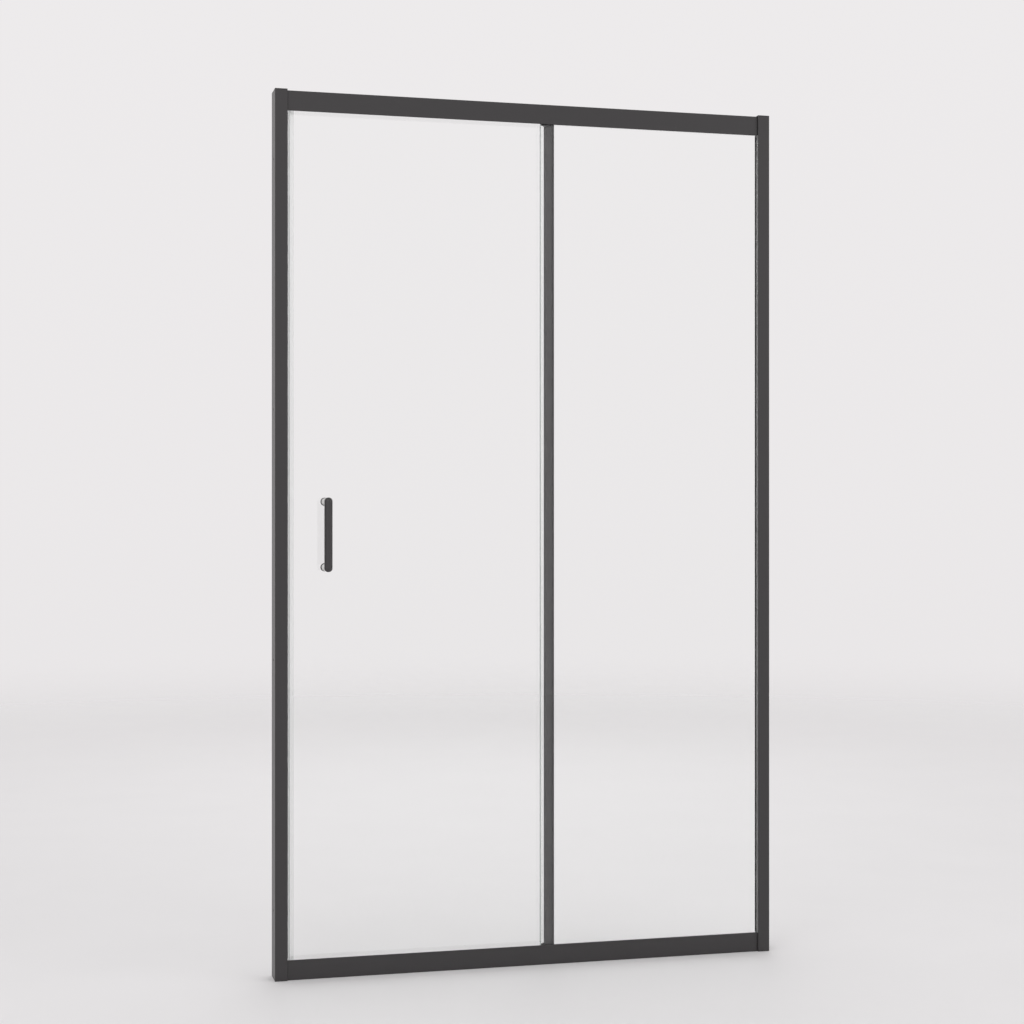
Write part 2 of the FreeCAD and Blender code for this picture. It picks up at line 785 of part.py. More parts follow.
def trailing_stile():
    """Aluminium stile over the trailing edge, with a slot for the brush in its front face."""
    front_y = door_mid_y - stile_depth / 2
    rear_y = door_mid_y + stile_depth / 2
    low = stile_bottom
    high = stile_top
    stile = box(stile_start_x, stile_end_x, front_y, rear_y, low, high)
    for x in (stile_start_x, stile_end_x):
        for y in (front_y, rear_y):
            corner = {"X": x, "Y": y}
            stile = soften(stile, stile_edge_radius, lambda edge: lies_at(edge, corner))
    pocket = box(stile_start_x - overrun, stile_pocket_end_x, front_y + stile_wall, rear_y - stile_wall,
                 low, high)
    slot = box(brush_slot_end_x - brush_slot_width, brush_slot_end_x, front_y - overrun,
               front_y + brush_slot_lip, low, high)
    back_half = brush_back_width / 2
    back_end_y = front_y + brush_slot_lip + brush_back_thickness
    back = box(brush_slot_mid_x - back_half, brush_slot_mid_x + back_half, front_y + brush_slot_lip,
               back_end_y, low, high)
    room = box(stile_pocket_end_x + stile_wall, stile_end_x - stile_wall, back_end_y + stile_wall,
               rear_y - stile_wall, low, high)
    return stile.cut(pocket).cut(slot).cut(back).cut(room)


def stile_brush():
    """Brush strip in the stile's slot: a backing strip and its pile, which wipes the fixed pane."""
    front_y = door_mid_y - stile_depth / 2
    back_y = front_y + brush_slot_lip
    half_back = brush_back_width / 2 - fit_clearance
    half_pile = brush_slot_width / 2 - brush_pile_clearance
    backing = box(brush_slot_mid_x - half_back, brush_slot_mid_x + half_back, back_y + fit_clearance,
                  back_y + brush_back_thickness - fit_clearance, rail_height, top_rail_bottom)
    pile = box(brush_slot_mid_x - half_pile, brush_slot_mid_x + half_pile, pane_rear_y + running_clearance,
               back_y + fit_clearance, rail_height, top_rail_bottom)
    return joined([backing, pile])


def stile_gasket():
    """U gasket between the glass and the stile."""
    front_y = door_mid_y - stile_depth / 2 + stile_wall
    rear_y = door_mid_y + stile_depth / 2 - stile_wall
    start_x = stile_start_x + stile_gasket_inset
    outer = box(start_x, door_trail_edge_x + stile_gasket_base, front_y, rear_y, stile_bottom, stile_top)
    inner = box(start_x - overrun, door_trail_edge_x, door_front_y, door_rear_y, stile_bottom, stile_top)
    return outer.cut(inner)


def stile_cap(end_z, direction):
    """Plate over one end of the stile, with a plug in its hollow. direction points out of the stile."""
    front_y = door_mid_y - stile_depth / 2
    rear_y = door_mid_y + stile_depth / 2
    plate = box(stile_start_x, stile_end_x, front_y, rear_y, end_z, end_z + direction * stile_cap_thickness)
    glass_room = box(stile_start_x - overrun, door_trail_edge_x + fit_clearance, door_front_y - fit_clearance,
                     door_rear_y + fit_clearance, end_z - overrun, end_z + overrun)
    room_start_x = stile_pocket_end_x + stile_wall + stile_cap_plug_clearance
    room_end_x = stile_end_x - stile_wall - stile_cap_plug_clearance
    room_front_y = front_y + brush_slot_lip + brush_back_thickness + stile_wall + stile_cap_plug_clearance
    room_rear_y = rear_y - stile_wall - stile_cap_plug_clearance
    plug = box(room_start_x, room_end_x, room_front_y, room_rear_y, end_z, end_z - direction * stile_cap_plug)
    return joined([plate.cut(glass_room), plug])


# Clamp fixings through the glass, the same at the hangers and the guides

def clamp_places():
    """Where the clamp fixings pass through the glass, as (x, z)."""
    places = []
    for z in (hanger_hole_z, guide_hole_z):
        for x in hanger_xs:
            places.append((x, z))
    return places


def clamp_disc(x, z):
    """Disc in front of the glass, countersunk for its screw."""
    rear_y = door_front_y - bush_flange_thickness
    front_y = rear_y - clamp_disc_thickness
    disc = rod_y(clamp_disc_radius, front_y, rear_y, x, z)
    rim = {"Y": front_y}
    disc = disc.makeChamfer(clamp_disc_chamfer, [edge for edge in disc.Edges if lies_at(edge, rim)])
    return disc.cut(clamp_screw_body(x, z, fit_clearance))


def clamp_screw_body(x, z, clearance):
    """Countersunk screw from the disc through the glass into the plate behind it."""
    front_y = door_front_y - bush_flange_thickness - clamp_disc_thickness
    end_y = hanger_rear_y - clamp_screw_end_gap
    head = cone_y(clamp_head_radius + clearance, clamp_screw_radius + clearance,
                  front_y, front_y + clamp_head_depth, x, z)
    shank = rod_y(clamp_screw_radius + clearance, front_y, end_y, x, z)
    return joined([head, shank])


def clamp_screw(x, z):
    """The clamp screw with the socket in its head."""
    front_y = door_front_y - bush_flange_thickness - clamp_disc_thickness
    socket = rod_y(clamp_socket_radius, front_y - overrun, front_y + clamp_socket_depth, x, z)
    return clamp_screw_body(x, z, 0).cut(socket)


def glass_bushes(x, z):
    """Two top-hat bushes that keep the screw and the plates off the glass."""
    sleeve_radius = glass_hole_radius - fit_clearance
    bore_radius = clamp_screw_radius + fit_clearance
    bushes = []
    for face_y, out in ((door_front_y, -1), (door_rear_y, 1)):
        flange = rod_y(bush_flange_radius, face_y, face_y + out * bush_flange_thickness, x, z)
        sleeve = rod_y(sleeve_radius, face_y, door_mid_y + out * fit_clearance, x, z)
        bore = rod_y(bore_radius, door_front_y - overrun, door_rear_y + overrun, x, z)
        bushes.append(joined([flange, sleeve]).cut(bore))
    return bushes


# Hangers

def wheel_xs(hanger_x):
    """The two wheel places of one hanger."""
    return (hanger_x - hanger_wheel_spacing / 2, hanger_x + hanger_wheel_spacing / 2)


def hanger_plate(x):
    """Steel plate behind the glass that carries two wheels."""
    low = hanger_hole_z - hanger_plate_below_hole
    high = hanger_axle_z + hanger_plate_above_axle
    plate = box(x - hanger_half_length, x + hanger_half_length, hanger_front_y, hanger_rear_y, low, high)
    for end_x in (x - hanger_half_length, x + hanger_half_length):
        for z in (low, high):
            corner = {"X": end_x, "Z": z}
            plate = soften(plate, hanger_corner_radius, lambda edge: lies_at(edge, corner))
    plate = plate.cut(clamp_screw_body(x, hanger_hole_z, fit_clearance))
    for axle_x in wheel_xs(x):
        plate = plate.cut(rod_y(wheel_axle_radius + fit_clearance, hanger_front_y - overrun,
                                hanger_rear_y + overrun, axle_x, hanger_axle_z))
    return plate


def hanger_axle(x):
    """Shouldered pin of one top wheel, riveted in the plate."""
    head_y = wheel_rear_y + running_clearance
    pin = rod_y(wheel_axle_radius, hanger_front_y, head_y, x, hanger_axle_z)
    shoulder = rod_y(axle_shoulder_radius, hanger_rear_y, wheel_front_y - running_clearance, x, hanger_axle_z)
    head = rod_y(axle_head_radius, head_y, head_y + axle_head_thickness, x, hanger_axle_z)
    return joined([pin, shoulder, head])


def grooved_wheel(x, z, rim_radius, groove_radius, axle_radius):
    """Nylon wheel whose groove runs on a round-topped rib."""
    groove_round = bead_width / 2 + running_clearance
    groove_middle = groove_radius + groove_round
    wheel = rod_y(rim_radius, wheel_front_y, wheel_rear_y, x, z)
    middle = Vector(x, wheel_mid_y, z)
    ring = Part.makeTorus(groove_middle, groove_round, middle, Vector(0, 1, 0))
    mouth = rod_y(rim_radius + overrun, wheel_mid_y - groove_round, wheel_mid_y + groove_round, x, z)
    mouth = mouth.cut(rod_y(groove_middle, wheel_front_y, wheel_rear_y, x, z))
    wheel = wheel.cut(ring).cut(mouth)
    recess_radius = groove_radius - wheel_rim_wall
    for face_y, inward in ((wheel_front_y, 1), (wheel_rear_y, -1)):
        recess = rod_y(recess_radius, face_y, face_y + inward * wheel_recess_depth, x, z)
        hub = rod_y(wheel_hub_radius, face_y, face_y + inward * wheel_recess_depth, x, z)
        wheel = wheel.cut(recess.cut(hub))
    bore = rod_y(axle_radius + fit_clearance, wheel_front_y - overrun, wheel_rear_y + overrun, x, z)
    return wheel.cut(bore)


# Track stops

def stop_faces():
    """For each stop, (x of the bumper's face, direction from the stop towards the door)."""
    closed_face = hanger_xs[0] - hanger_half_length - running_clearance
    open_face = hanger_xs[1] + hanger_half_length + door_travel + running_clearance
    return ((closed_face, 1), (open_face, -1))


def stop_screw_xs():
    """Middles of the two stops along the track."""
    xs = []
    for face_x, inward in stop_faces():
        xs.append(face_x - inward * (stop_bumper_length + stop_length / 2))
    return xs


def stop_screw_y():
    """The stop screws pass through the track behind its bead."""
    return (wheel_mid_y + bead_width / 2 + rail_rear_y - rail_wall) / 2


def track_stop(face_x, inward):
    """Block astride the bead, with an arm in the path of the hanger plate."""
    start_x = face_x - inward * stop_bumper_length
    end_x = start_x - inward * stop_length
    rear_y = rail_rear_y - rail_wall - stop_rear_gap
    top = track_top + stop_height
    arm_y = door_rear_y + stop_arm_gap
    body = box(start_x, end_x, track_front_y + stop_front_gap, rear_y, track_top, top)
    arm = box(start_x, end_x, arm_y, track_front_y + stop_front_gap, top - stop_arm_height, top)
    stop = joined([body, arm])
    half_slot = bead_width / 2 + stop_front_gap
    slot = box(start_x + inward * overrun, end_x - inward * overrun, wheel_mid_y - half_slot,
               wheel_mid_y + half_slot, track_top, bead_top + stop_front_gap)
    middle_x = (start_x + end_x) / 2
    hole = rod_z(stop_screw_radius + fit_clearance, track_top - overrun, top + overrun,
                 middle_x, stop_screw_y())
    return stop.cut(slot).cut(hole)


def stop_bumper(face_x, inward):
    """Rubber pad on a stop's arm."""
    top = track_top + stop_height
    return box(face_x, face_x - inward * stop_bumper_length, door_rear_y + stop_arm_gap, hanger_rear_y,
               top - stop_arm_height, top)


def stop_screw(x):
    """Screw down through a stop into the track."""
    top = track_top + stop_height
    shank = rod_z(stop_screw_radius, track_bottom - stop_screw_tail, top, x, stop_screw_y())
    head = rod_z(stop_screw_head_radius, top, top + stop_screw_head_height, x, stop_screw_y())
    return joined([shank, head])


# Guides at the foot of the door

def guide_housing(x):
    """Nylon bracket behind the glass that the plunger slides in."""
    foot_top = door_bottom - guide_foot_gap
    foot_bottom = foot_top - guide_foot_thickness
    start = x - guide_half_length
    end = x + guide_half_length
    lip_top = guide_lip_bottom + guide_lip
    pieces = [
        box(start, end, guide_front_y, guide_rear_y, foot_bottom, guide_plate_top),
        box(start, end, guide_front_y - guide_foot_reach, guide_front_y, foot_bottom, foot_top),
    ]
    for out in (-1, 1):
        outer_x = x + out * guide_half_length
        wall_x = x + out * guide_wall_inner
        pieces.append(box(outer_x, wall_x, guide_rear_y, guide_wall_rear_y,
                          guide_lip_bottom, guide_plate_top))
        pieces.append(box(outer_x, x + out * guide_ledge_start, guide_rear_y, guide_wall_rear_y,
                          ledge_bottom, guide_plate_top))
        lip_x = outer_x - out * guide_lip_reach
        pieces.append(box(outer_x, lip_x, guide_rear_y, guide_wall_rear_y, guide_lip_bottom, lip_top))
        hook_y = guide_wall_rear_y - guide_hook + running_clearance
        pieces.append(box(outer_x, lip_x, hook_y, guide_wall_rear_y, guide_lip_bottom, guide_plate_top))
    housing = joined(pieces)
    return housing.cut(clamp_screw_body(x, guide_hole_z, fit_clearance))


def guide_plunger(x):
    """Sliding carrier of a guide wheel, with two ears under the springs and a finger tab."""
    plate = box(x - plunger_half_width, x + plunger_half_width, plunger_front_y, plunger_rear_y,
                ear_bottom, plunger_top)
    tab_top = plunger_top + tab_overtop
    tab = box(x - tab_half_width, x + tab_half_width, plunger_rear_y, plunger_rear_y + tab_thickness,
              tab_top - tab_height, tab_top)
    tab_root = box(x - tab_half_width, x + tab_half_width, plunger_front_y, plunger_rear_y,
                   plunger_top, tab_top)
    pieces = [plate, tab, tab_root]
    for out in (-1, 1):
        ear_start = x + out * plunger_ear_start
        ear_end = x + out * (guide_wall_inner - running_clearance)
        pieces.append(box(ear_start, ear_end, ear_front_y, ear_rear_y, ear_bottom, ear_top))
        pieces.append(box(ear_start, x + out * plunger_neck_end, ear_rear_y, plunger_front_y,
                          ear_bottom, ear_top))
    plunger = joined(pieces)
    return plunger.cut(guide_axle_body(x, fit_clearance))


def guide_axle_body(x, clearance):
    """Pin of a guide wheel, held in the plunger's plate, its head sunk in the plate's rear."""
    front_y = wheel_front_y - running_clearance
    head_start_y = plunger_rear_y - axle_head_thickness
    pin = rod_y(guide_axle_radius + clearance, front_y, plunger_rear_y, x, guide_axle_z)
    head = rod_y(guide_axle_head_radius + clearance, head_start_y, plunger_rear_y, x, guide_axle_z)
    return joined([pin, head])


def coil_spring(x, y, z0, z1):
    """Open coil spring standing between two levels, as a wire along quarter-turn arcs."""
    low = z0 + spring_end_gap + spring_wire_radius
    high = z1 - spring_end_gap - spring_wire_radius
    quarter_turns = 4 * spring_turns

    def point(quarters):
        angle = quarters * math.pi / 2
        height = low + (high - low) * quarters / quarter_turns
        across = x + spring_coil_radius * math.cos(angle)
        inwards = y + spring_coil_radius * math.sin(angle)
        return Vector(across, inwards, height)

    arcs = []
    for i in range(quarter_turns):
        arcs.append(Part.Arc(point(i), point(i + 1 / 2), point(i + 1)).toShape())
    path = Part.Wire(arcs)
    start = point(0)
    direction = arcs[0].tangentAt(arcs[0].FirstParameter)
    section = Part.Wire(Part.makeCircle(spring_wire_radius, start, direction))
    return path.makePipeShell([section], True, False)


def guide_springs(x):
    """The two springs of one guide, from the plunger's ears up to the housing's ledge."""
    middle_y = (ear_front_y + ear_rear_y) / 2
    return [coil_spring(x + out * spring_place, middle_y, ear_top, ledge_bottom) for out in (-1, 1)]


# Handle

def handle_bar():
    """Round upright bar with rounded ends."""
    bar = rod_z(handle_radius, *handle_bar_zs, handle_x, handle_mid_y)
    for z in handle_bar_zs:
        rim = {"Z": z}
        bar = soften(bar, handle_end_radius, lambda edge: lies_at(edge, rim) and edge.Length > handle_radius)
    return bar


def handle_screw_body(z, clearance):
    """Round-headed screw from inside the shower through disc, glass and washers into a post."""
    head_y = door_rear_y + handle_washer_thickness + handle_disc_thickness
    tip_y = post_front_y - handle_screw_reach
    shank = rod_y(handle_screw_radius + clearance, tip_y, head_y, handle_x, z)
    head = rod_y(handle_head_radius, head_y, head_y + handle_head_height, handle_x, z)
    rim = {"Y": head_y + handle_head_height}
    head = soften(head, handle_head_round, lambda edge: lies_at(edge, rim))
    return joined([shank, head])


def handle_post(z):
    """Round post between the glass and the bar, its end hollowed to the bar's curve."""
    post = rod_y(post_radius, handle_mid_y, post_front_y, handle_x, z)
    bar_room = rod_z(handle_radius + fit_clearance, z - 2 * post_radius, z + 2 * post_radius,
                     handle_x, handle_mid_y)
    bore_end_y = post_front_y - handle_screw_reach - handle_screw_end_room
    bore = rod_y(handle_screw_radius + fit_clearance, bore_end_y, post_front_y + overrun, handle_x, z)
    return post.cut(bar_room).cut(bore)


def handle_washer(face_y, out, z):
    """Soft washer against one face of the glass."""
    washer = rod_y(handle_washer_radius, face_y, face_y + out * handle_washer_thickness, handle_x, z)
    return washer.cut(handle_bore(z))


def handle_bush(z):
    """Sleeve in the handle's glass hole."""
    sleeve = rod_y(handle_hole_radius - fit_clearance, door_front_y, door_rear_y, handle_x, z)
    return sleeve.cut(handle_bore(z))


def handle_disc(z):
    """Disc behind the glass under the screw's head."""
    start_y = door_rear_y + handle_washer_thickness
    disc = rod_y(handle_disc_radius, start_y, start_y + handle_disc_thickness, handle_x, z)
    return disc.cut(handle_bore(z))


def handle_bore(z):
    """Clearance for the handle screw, from washer to disc."""
    return rod_y(handle_screw_radius + fit_clearance, door_front_y - handle_washer_thickness - overrun,
                 door_rear_y + handle_washer_thickness + handle_disc_thickness + overrun, handle_x, z)


def build_frame():
    """Everything that stays with the walls."""
    save("wall_channel_left", wall_channel(-1))
    save("wall_channel_right", wall_channel(1))
    save("channel_cap_left", channel_cap(-1))
    save("channel_cap_right", channel_cap(1))
    save("closing_profile", closing_profile())
    save("closing_seal", closing_seal())
    save("glazing_profile", glazing_profile())
    save("side_glazing_wedge", side_glazing_wedge())
    save("side_glazing_gasket", side_glazing_gasket())
    save("top_rail", top_rail())
    save("bottom_rail", bottom_rail())
    save("rail_end_screws", *rail_end_screws())
    save("profile_screws", *profile_screws())
    save("profile_screw_caps", *profile_screw_caps())
    save("fixed_pane", fixed_pane())
    save("pane_setting_blocks", *setting_blocks())
    save("top_glazing_gaskets", *glazing_strips(top_rail_bottom, top_rail_bottom + top_web_rise, 1))
    save("bottom_glazing_gaskets", *glazing_strips(rail_height, bottom_web_height, -1))
    save("pane_edge_seal", pane_edge_seal())
    save("splash_block_top", splash_block(top_rail_bottom, top_rail_bottom + top_web_rise, -1))
    save("splash_block_bottom", splash_block(rail_height, bottom_web_height, 1))
    for name, (face_x, inward) in zip(("left", "right"), stop_faces()):
        save("track_stop_" + name, track_stop(face_x, inward))
    save("track_stop_bumpers", *[stop_bumper(face_x, inward) for face_x, inward in stop_faces()])
    save("track_stop_screws", *[stop_screw(x) for x in stop_screw_xs()])


def build_door():
    """Everything that slides with the door's glass."""
    save("door_glass", door_glass())
    save("leading_seal", leading_seal())
    save("trailing_stile", trailing_stile())
    save("stile_gasket", stile_gasket())
    save("stile_brush", stile_brush())
    save("stile_cap_top", stile_cap(stile_top, 1))
    save("stile_cap_bottom", stile_cap(stile_bottom, -1))
    save("clamp_discs", *[clamp_disc(x, z) for x, z in clamp_places()])
    save("clamp_screws", *[clamp_screw(x, z) for x, z in clamp_places()])
    save("glass_bushes", *[bush for x, z in clamp_places() for bush in glass_bushes(x, z)])
    save("handle_bar", handle_bar())
    save("handle_posts", *[handle_post(z) for z in handle_zs])
    save("handle_washers", *[handle_washer(face_y, out, z) for z in handle_zs
                             for face_y, out in ((door_front_y, -1), (door_rear_y, 1))])
    save("handle_bushes", *[handle_bush(z) for z in handle_zs])
    save("handle_inner_discs", *[handle_disc(z) for z in handle_zs])
    save("handle_screws", *[handle_screw_body(z, 0) for z in handle_zs])


def build_running_gear():
    """Hangers with their wheels, and guides with their plungers, springs and wheels."""
    axle_places = [axle_x for x in hanger_xs for axle_x in wheel_xs(x)]
    save("hanger_axles", *[hanger_axle(x) for x in axle_places])
    for number, x in enumerate(axle_places, start=1):
        wheel = grooved_wheel(x, hanger_axle_z, top_wheel_rim_radius, top_wheel_groove_radius,
                              wheel_axle_radius)
        save("top_wheel_%d" % number, wheel)
    for name, x in zip(("left", "right"), hanger_xs):
        save("hanger_plate_" + name, hanger_plate(x))
        save("guide_housing_" + name, guide_housing(x))
        save("guide_plunger_" + name, guide_plunger(x))
        save("guide_axle_" + name, guide_axle_body(x, 0))
        save("guide_springs_" + name, *guide_springs(x))
        wheel = grooved_wheel(x, guide_axle_z, guide_wheel_rim_radius, guide_wheel_groove_radius,
                              guide_axle_radius)
        save("guide_wheel_" + name, wheel)


os.makedirs("parts", exist_ok=True)
build_frame()
build_door()
build_running_gear()
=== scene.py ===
# %% [markdown]
# # A sliding shower door
# The door closes an opening. A dark frame of extruded aluminium holds a fixed pane on the right, and a
# glass leaf on the left rolls behind it on wheels that are hidden in the head rail. The pieces come from an
# engineering model in metres, with X along the door, Y towards its rear and Z up. This lesson gives each
# piece the surface and the small shapes that the real one has.

# %% Load the frame
import json
import math

import bmesh
import bpy
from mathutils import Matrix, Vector


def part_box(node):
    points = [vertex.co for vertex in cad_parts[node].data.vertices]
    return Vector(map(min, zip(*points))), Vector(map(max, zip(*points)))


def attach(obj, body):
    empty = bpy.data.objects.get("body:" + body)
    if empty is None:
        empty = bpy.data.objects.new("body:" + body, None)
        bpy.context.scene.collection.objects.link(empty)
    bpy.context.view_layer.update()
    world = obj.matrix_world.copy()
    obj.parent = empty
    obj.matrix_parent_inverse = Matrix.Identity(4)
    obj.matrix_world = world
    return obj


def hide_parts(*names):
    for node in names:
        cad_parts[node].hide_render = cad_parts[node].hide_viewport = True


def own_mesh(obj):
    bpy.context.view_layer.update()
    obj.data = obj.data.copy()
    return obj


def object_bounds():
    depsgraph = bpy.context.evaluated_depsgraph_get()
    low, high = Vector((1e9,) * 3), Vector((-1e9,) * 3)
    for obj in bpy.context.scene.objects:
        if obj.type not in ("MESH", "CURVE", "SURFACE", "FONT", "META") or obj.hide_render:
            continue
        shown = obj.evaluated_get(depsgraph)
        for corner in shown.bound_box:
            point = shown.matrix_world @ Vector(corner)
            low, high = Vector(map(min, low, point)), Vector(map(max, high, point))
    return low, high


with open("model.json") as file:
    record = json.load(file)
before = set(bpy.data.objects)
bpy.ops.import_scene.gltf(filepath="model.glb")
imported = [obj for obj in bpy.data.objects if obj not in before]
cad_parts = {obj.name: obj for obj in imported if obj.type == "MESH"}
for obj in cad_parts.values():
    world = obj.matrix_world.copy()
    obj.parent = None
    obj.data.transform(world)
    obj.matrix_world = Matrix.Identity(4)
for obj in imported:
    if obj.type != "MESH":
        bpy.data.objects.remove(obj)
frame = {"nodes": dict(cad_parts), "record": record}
cad_low, cad_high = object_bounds()
scene = bpy.context.scene
nodes = frame["nodes"]
print("nodes:", len(nodes), "from", tuple(cad_low), "to", tuple(cad_high))

# %% [markdown]
# ## The camera
# A photograph of a box-shaped thing tells where its camera stood: upright edges stay upright in the
# picture, so the camera was level, and the rails' slopes give the turn and the focal length. We place a
# real camera there, because then every edge can be compared pixel by pixel.

# %% The camera
picture_width = 1024
focal_length_in_pixels = 1873.0
sensor_width = 36.0
camera_place = Vector((-1.0963, -4.1129, 1.0232))
camera_turn = math.radians(14.456)
camera_tilt = math.radians(0.022)

camera_data = bpy.data.cameras.new("camera")
camera_data.sensor_width = sensor_width
camera_data.lens = focal_length_in_pixels * sensor_width / picture_width
camera = bpy.data.objects.new("camera", camera_data)
camera.location = camera_place
camera.rotation_euler = (math.pi / 2 + camera_tilt, 0, -camera_turn)
scene.collection.objects.link(camera)
scene.camera = camera
print("lens: %.2f mm" % camera_data.lens)

# %% [markdown]
# ## Building node trees in code
# Shaders, shared shader groups and Geometry Nodes are all trees of nodes joined by links. A few small
# helpers keep the code readable. An input takes either a plain value or another node's output, so a tree is
# written from its first node to its last, and each node says what feeds it.

# %% Helpers for node trees
def new_group(name, kind, inputs, outputs):
    """A node group with named sockets. Returns it with the sockets it is given and its output node."""
    group = bpy.data.node_groups.new(name, kind)
    for title, socket_type, value in inputs:
        socket = group.interface.new_socket(title, in_out="INPUT", socket_type=socket_type)
        if value is not None:
            socket.default_value = value
    for title, socket_type in outputs:
        group.interface.new_socket(title, in_out="OUTPUT", socket_type=socket_type)
    return group, group.nodes.new("NodeGroupInput").outputs, group.nodes.new("NodeGroupOutput")


def feed(tree, node, inputs):
    """Give each input of a node, by name or number, a plain value or a link from another node's output."""
    for name, value in inputs.items():
        if isinstance(value, bpy.types.NodeSocket):
            tree.links.new(value, node.inputs[name])
        else:
            node.inputs[name].default_value = value


def add_node(tree, kind, inputs=None, **properties):
    """A node with its properties set and its inputs fed."""
    node = tree.nodes.new(kind)
    for name, value in properties.items():
        setattr(node, name, value)
    feed(tree, node, inputs or {})
    return node


# %% Helpers for sums, ranges and colours
def calculated(tree, operation, *values):
    """The result of one Math node."""
    return add_node(tree, "ShaderNodeMath", dict(enumerate(values)), operation=operation).outputs["Value"]


def remapped(tree, value, old=(0.0, 1.0), new=(0.0, 1.0), curve="LINEAR"):
    """A value carried over from an old range to a new one, and held within it."""
    ranges = {"Value": value, "From Min": old[0], "From Max": old[1], "To Min": new[0], "To Max": new[1]}
    return add_node(tree, "ShaderNodeMapRange", ranges, interpolation_type=curve).outputs["Result"]


def blended(tree, share, first, second):
    """The colour that lies this share of the way from the first to the second.

    A Mix node has sockets for each kind of data. Inputs 0, 6 and 7 and output 2 are those for colours.
    """
    mix = add_node(tree, "ShaderNodeMix", {0: share, 6: first, 7: second}, data_type="RGBA")
    return mix.outputs[2]


# %% [markdown]
# ## A plain studio
# The door stands on a pale floor under soft light, as in a catalogue picture. The floor fades out into the
# sky far away, so that no horizon line shows through the glass. The sky is the main lamp:
# glass and dark paint are mostly seen by what they reflect, so it has a gentle gradient.

# %% The sky
ground_colour = (0.66, 0.645, 0.65, 1)
horizon_colour = (0.83, 0.81, 0.817, 1)
zenith_colour = (0.90, 0.885, 0.89, 1)

sky = bpy.data.worlds.new("studio")
scene.world = sky
sky.use_nodes = True
tree = sky.node_tree
direction = add_node(tree, "ShaderNodeTexCoord")
split = add_node(tree, "ShaderNodeSeparateXYZ", {"Vector": direction.outputs["Generated"]})
upwards = remapped(tree, split.outputs["Z"], old=(-1.0, 1.0))
sky_colours = add_node(tree, "ShaderNodeValToRGB", {"Fac": upwards})
ramp = sky_colours.color_ramp.elements
ramp[0].position = 0.0
ramp[0].color = ground_colour
ramp[1].position = 1.0
ramp[1].color = zenith_colour
ramp.new(0.5).color = horizon_colour
feed(tree, tree.nodes["Background"], {"Color": sky_colours.outputs["Color"], "Strength": 1.0})
scene.view_settings.view_transform = "Standard"
print("sky: horizon", horizon_colour[:3])

# %% The floor
floor_radius = 10.5
floor_clear_radius = 0.6
floor_fade_radius = 10.0
floor_grey = (0.72, 0.715, 0.718, 1)
floor_light_grey = (0.75, 0.745, 0.748, 1)

floor_mesh = bpy.data.meshes.new("floor")
ring = bmesh.new()
bmesh.ops.create_circle(ring, cap_ends=True, radius=floor_radius, segments=96)
ring.to_mesh(floor_mesh)
ring.free()
floor = bpy.data.objects.new("floor", floor_mesh)
scene.collection.objects.link(floor)

floor_paint = bpy.data.materials.new("floor_paint")
floor_paint.use_nodes = True
tree = floor_paint.node_tree
where = add_node(tree, "ShaderNodeTexCoord").outputs["Object"]
away = add_node(tree, "ShaderNodeVectorMath", {0: where}, operation="LENGTH")
fade = remapped(tree, away.outputs["Value"], old=(floor_clear_radius, floor_fade_radius), new=(1.0, 0.0),
                curve="SMOOTHERSTEP")
mottle = add_node(tree, "ShaderNodeTexNoise", {"Vector": where, "Scale": 3.0, "Detail": 5.0})
feed(tree, tree.nodes["Principled BSDF"], {
    "Base Color": blended(tree, mottle.outputs["Fac"], floor_grey, floor_light_grey),
    "Roughness": 0.65, "Alpha": fade})
floor_mesh.materials.append(floor_paint)
print("floor: fades out from %.1f to %.1f m" % (floor_clear_radius, floor_fade_radius))

# %% [markdown]
# ## The lamps
# Three large square lamps do the work of a studio's soft boxes: one from the front, one from the side and
# one from behind. The panes would mirror a plain lamp as a bright square with hard edges. So each lamp is
# bright in its middle and fades out towards its rim, which leaves only a soft sheen, and no lamp is seen by
# the camera or through the glass.

# %% The lamps
door_middle = (cad_low + cad_high) / 2
lamp_rim_share = 0.275


def soft_lamp(name, place, side, power):
    """A square lamp that faces the door's middle and fades towards its rim."""
    data = bpy.data.lights.new(name, "AREA")
    data.size = side
    data.energy = power
    data.use_nodes = True
    tree = data.node_tree
    surface = add_node(tree, "ShaderNodeNewGeometry")
    across = add_node(tree, "ShaderNodeSeparateXYZ", {"Vector": surface.outputs["Parametric"]})
    from_sides = calculated(tree, "PINGPONG", across.outputs["X"], 0.5)
    from_ends = calculated(tree, "PINGPONG", across.outputs["Y"], 0.5)
    fades = [remapped(tree, to_rim, old=(0.0, lamp_rim_share), curve="SMOOTHSTEP")
             for to_rim in (from_sides, from_ends)]
    feed(tree, tree.nodes["Emission"], {"Strength": calculated(tree, "MULTIPLY", *fades)})
    lamp = bpy.data.objects.new(name, data)
    lamp.location = place
    lamp.rotation_euler = (door_middle - Vector(place)).to_track_quat("-Z", "Y").to_euler()
    lamp.visible_camera = False
    lamp.visible_transmission = False
    scene.collection.objects.link(lamp)
    print("%s: %.1f m wide, %.0f W" % (name, side, power))


soft_lamp("front_lamp", (-2.6, -3.6, 3.2), 3.6, 80.0)
soft_lamp("side_lamp", (3.4, -2.4, 2.2), 3.0, 34.0)
soft_lamp("back_lamp", (0.8, 3.6, 3.0), 3.3, 49.0)

# %% [markdown]
# ## Shared effects
# Several finishes need the same few effects, so each effect is a shader group with named inputs.
# *Fine bumps* give paint, plastic and rubber their skin. *Cloudy colour* keeps a colour from being dead
# flat. *Edge light* finds outer edges, where paint lies thinner and polish starts. *Drawn lines* are the
# faint marks that rolling, brushing or extruding leaves along a piece. Patterns read Object coordinates in
# metres, so a scale of 1000 makes grains of about a millimetre on every piece alike.

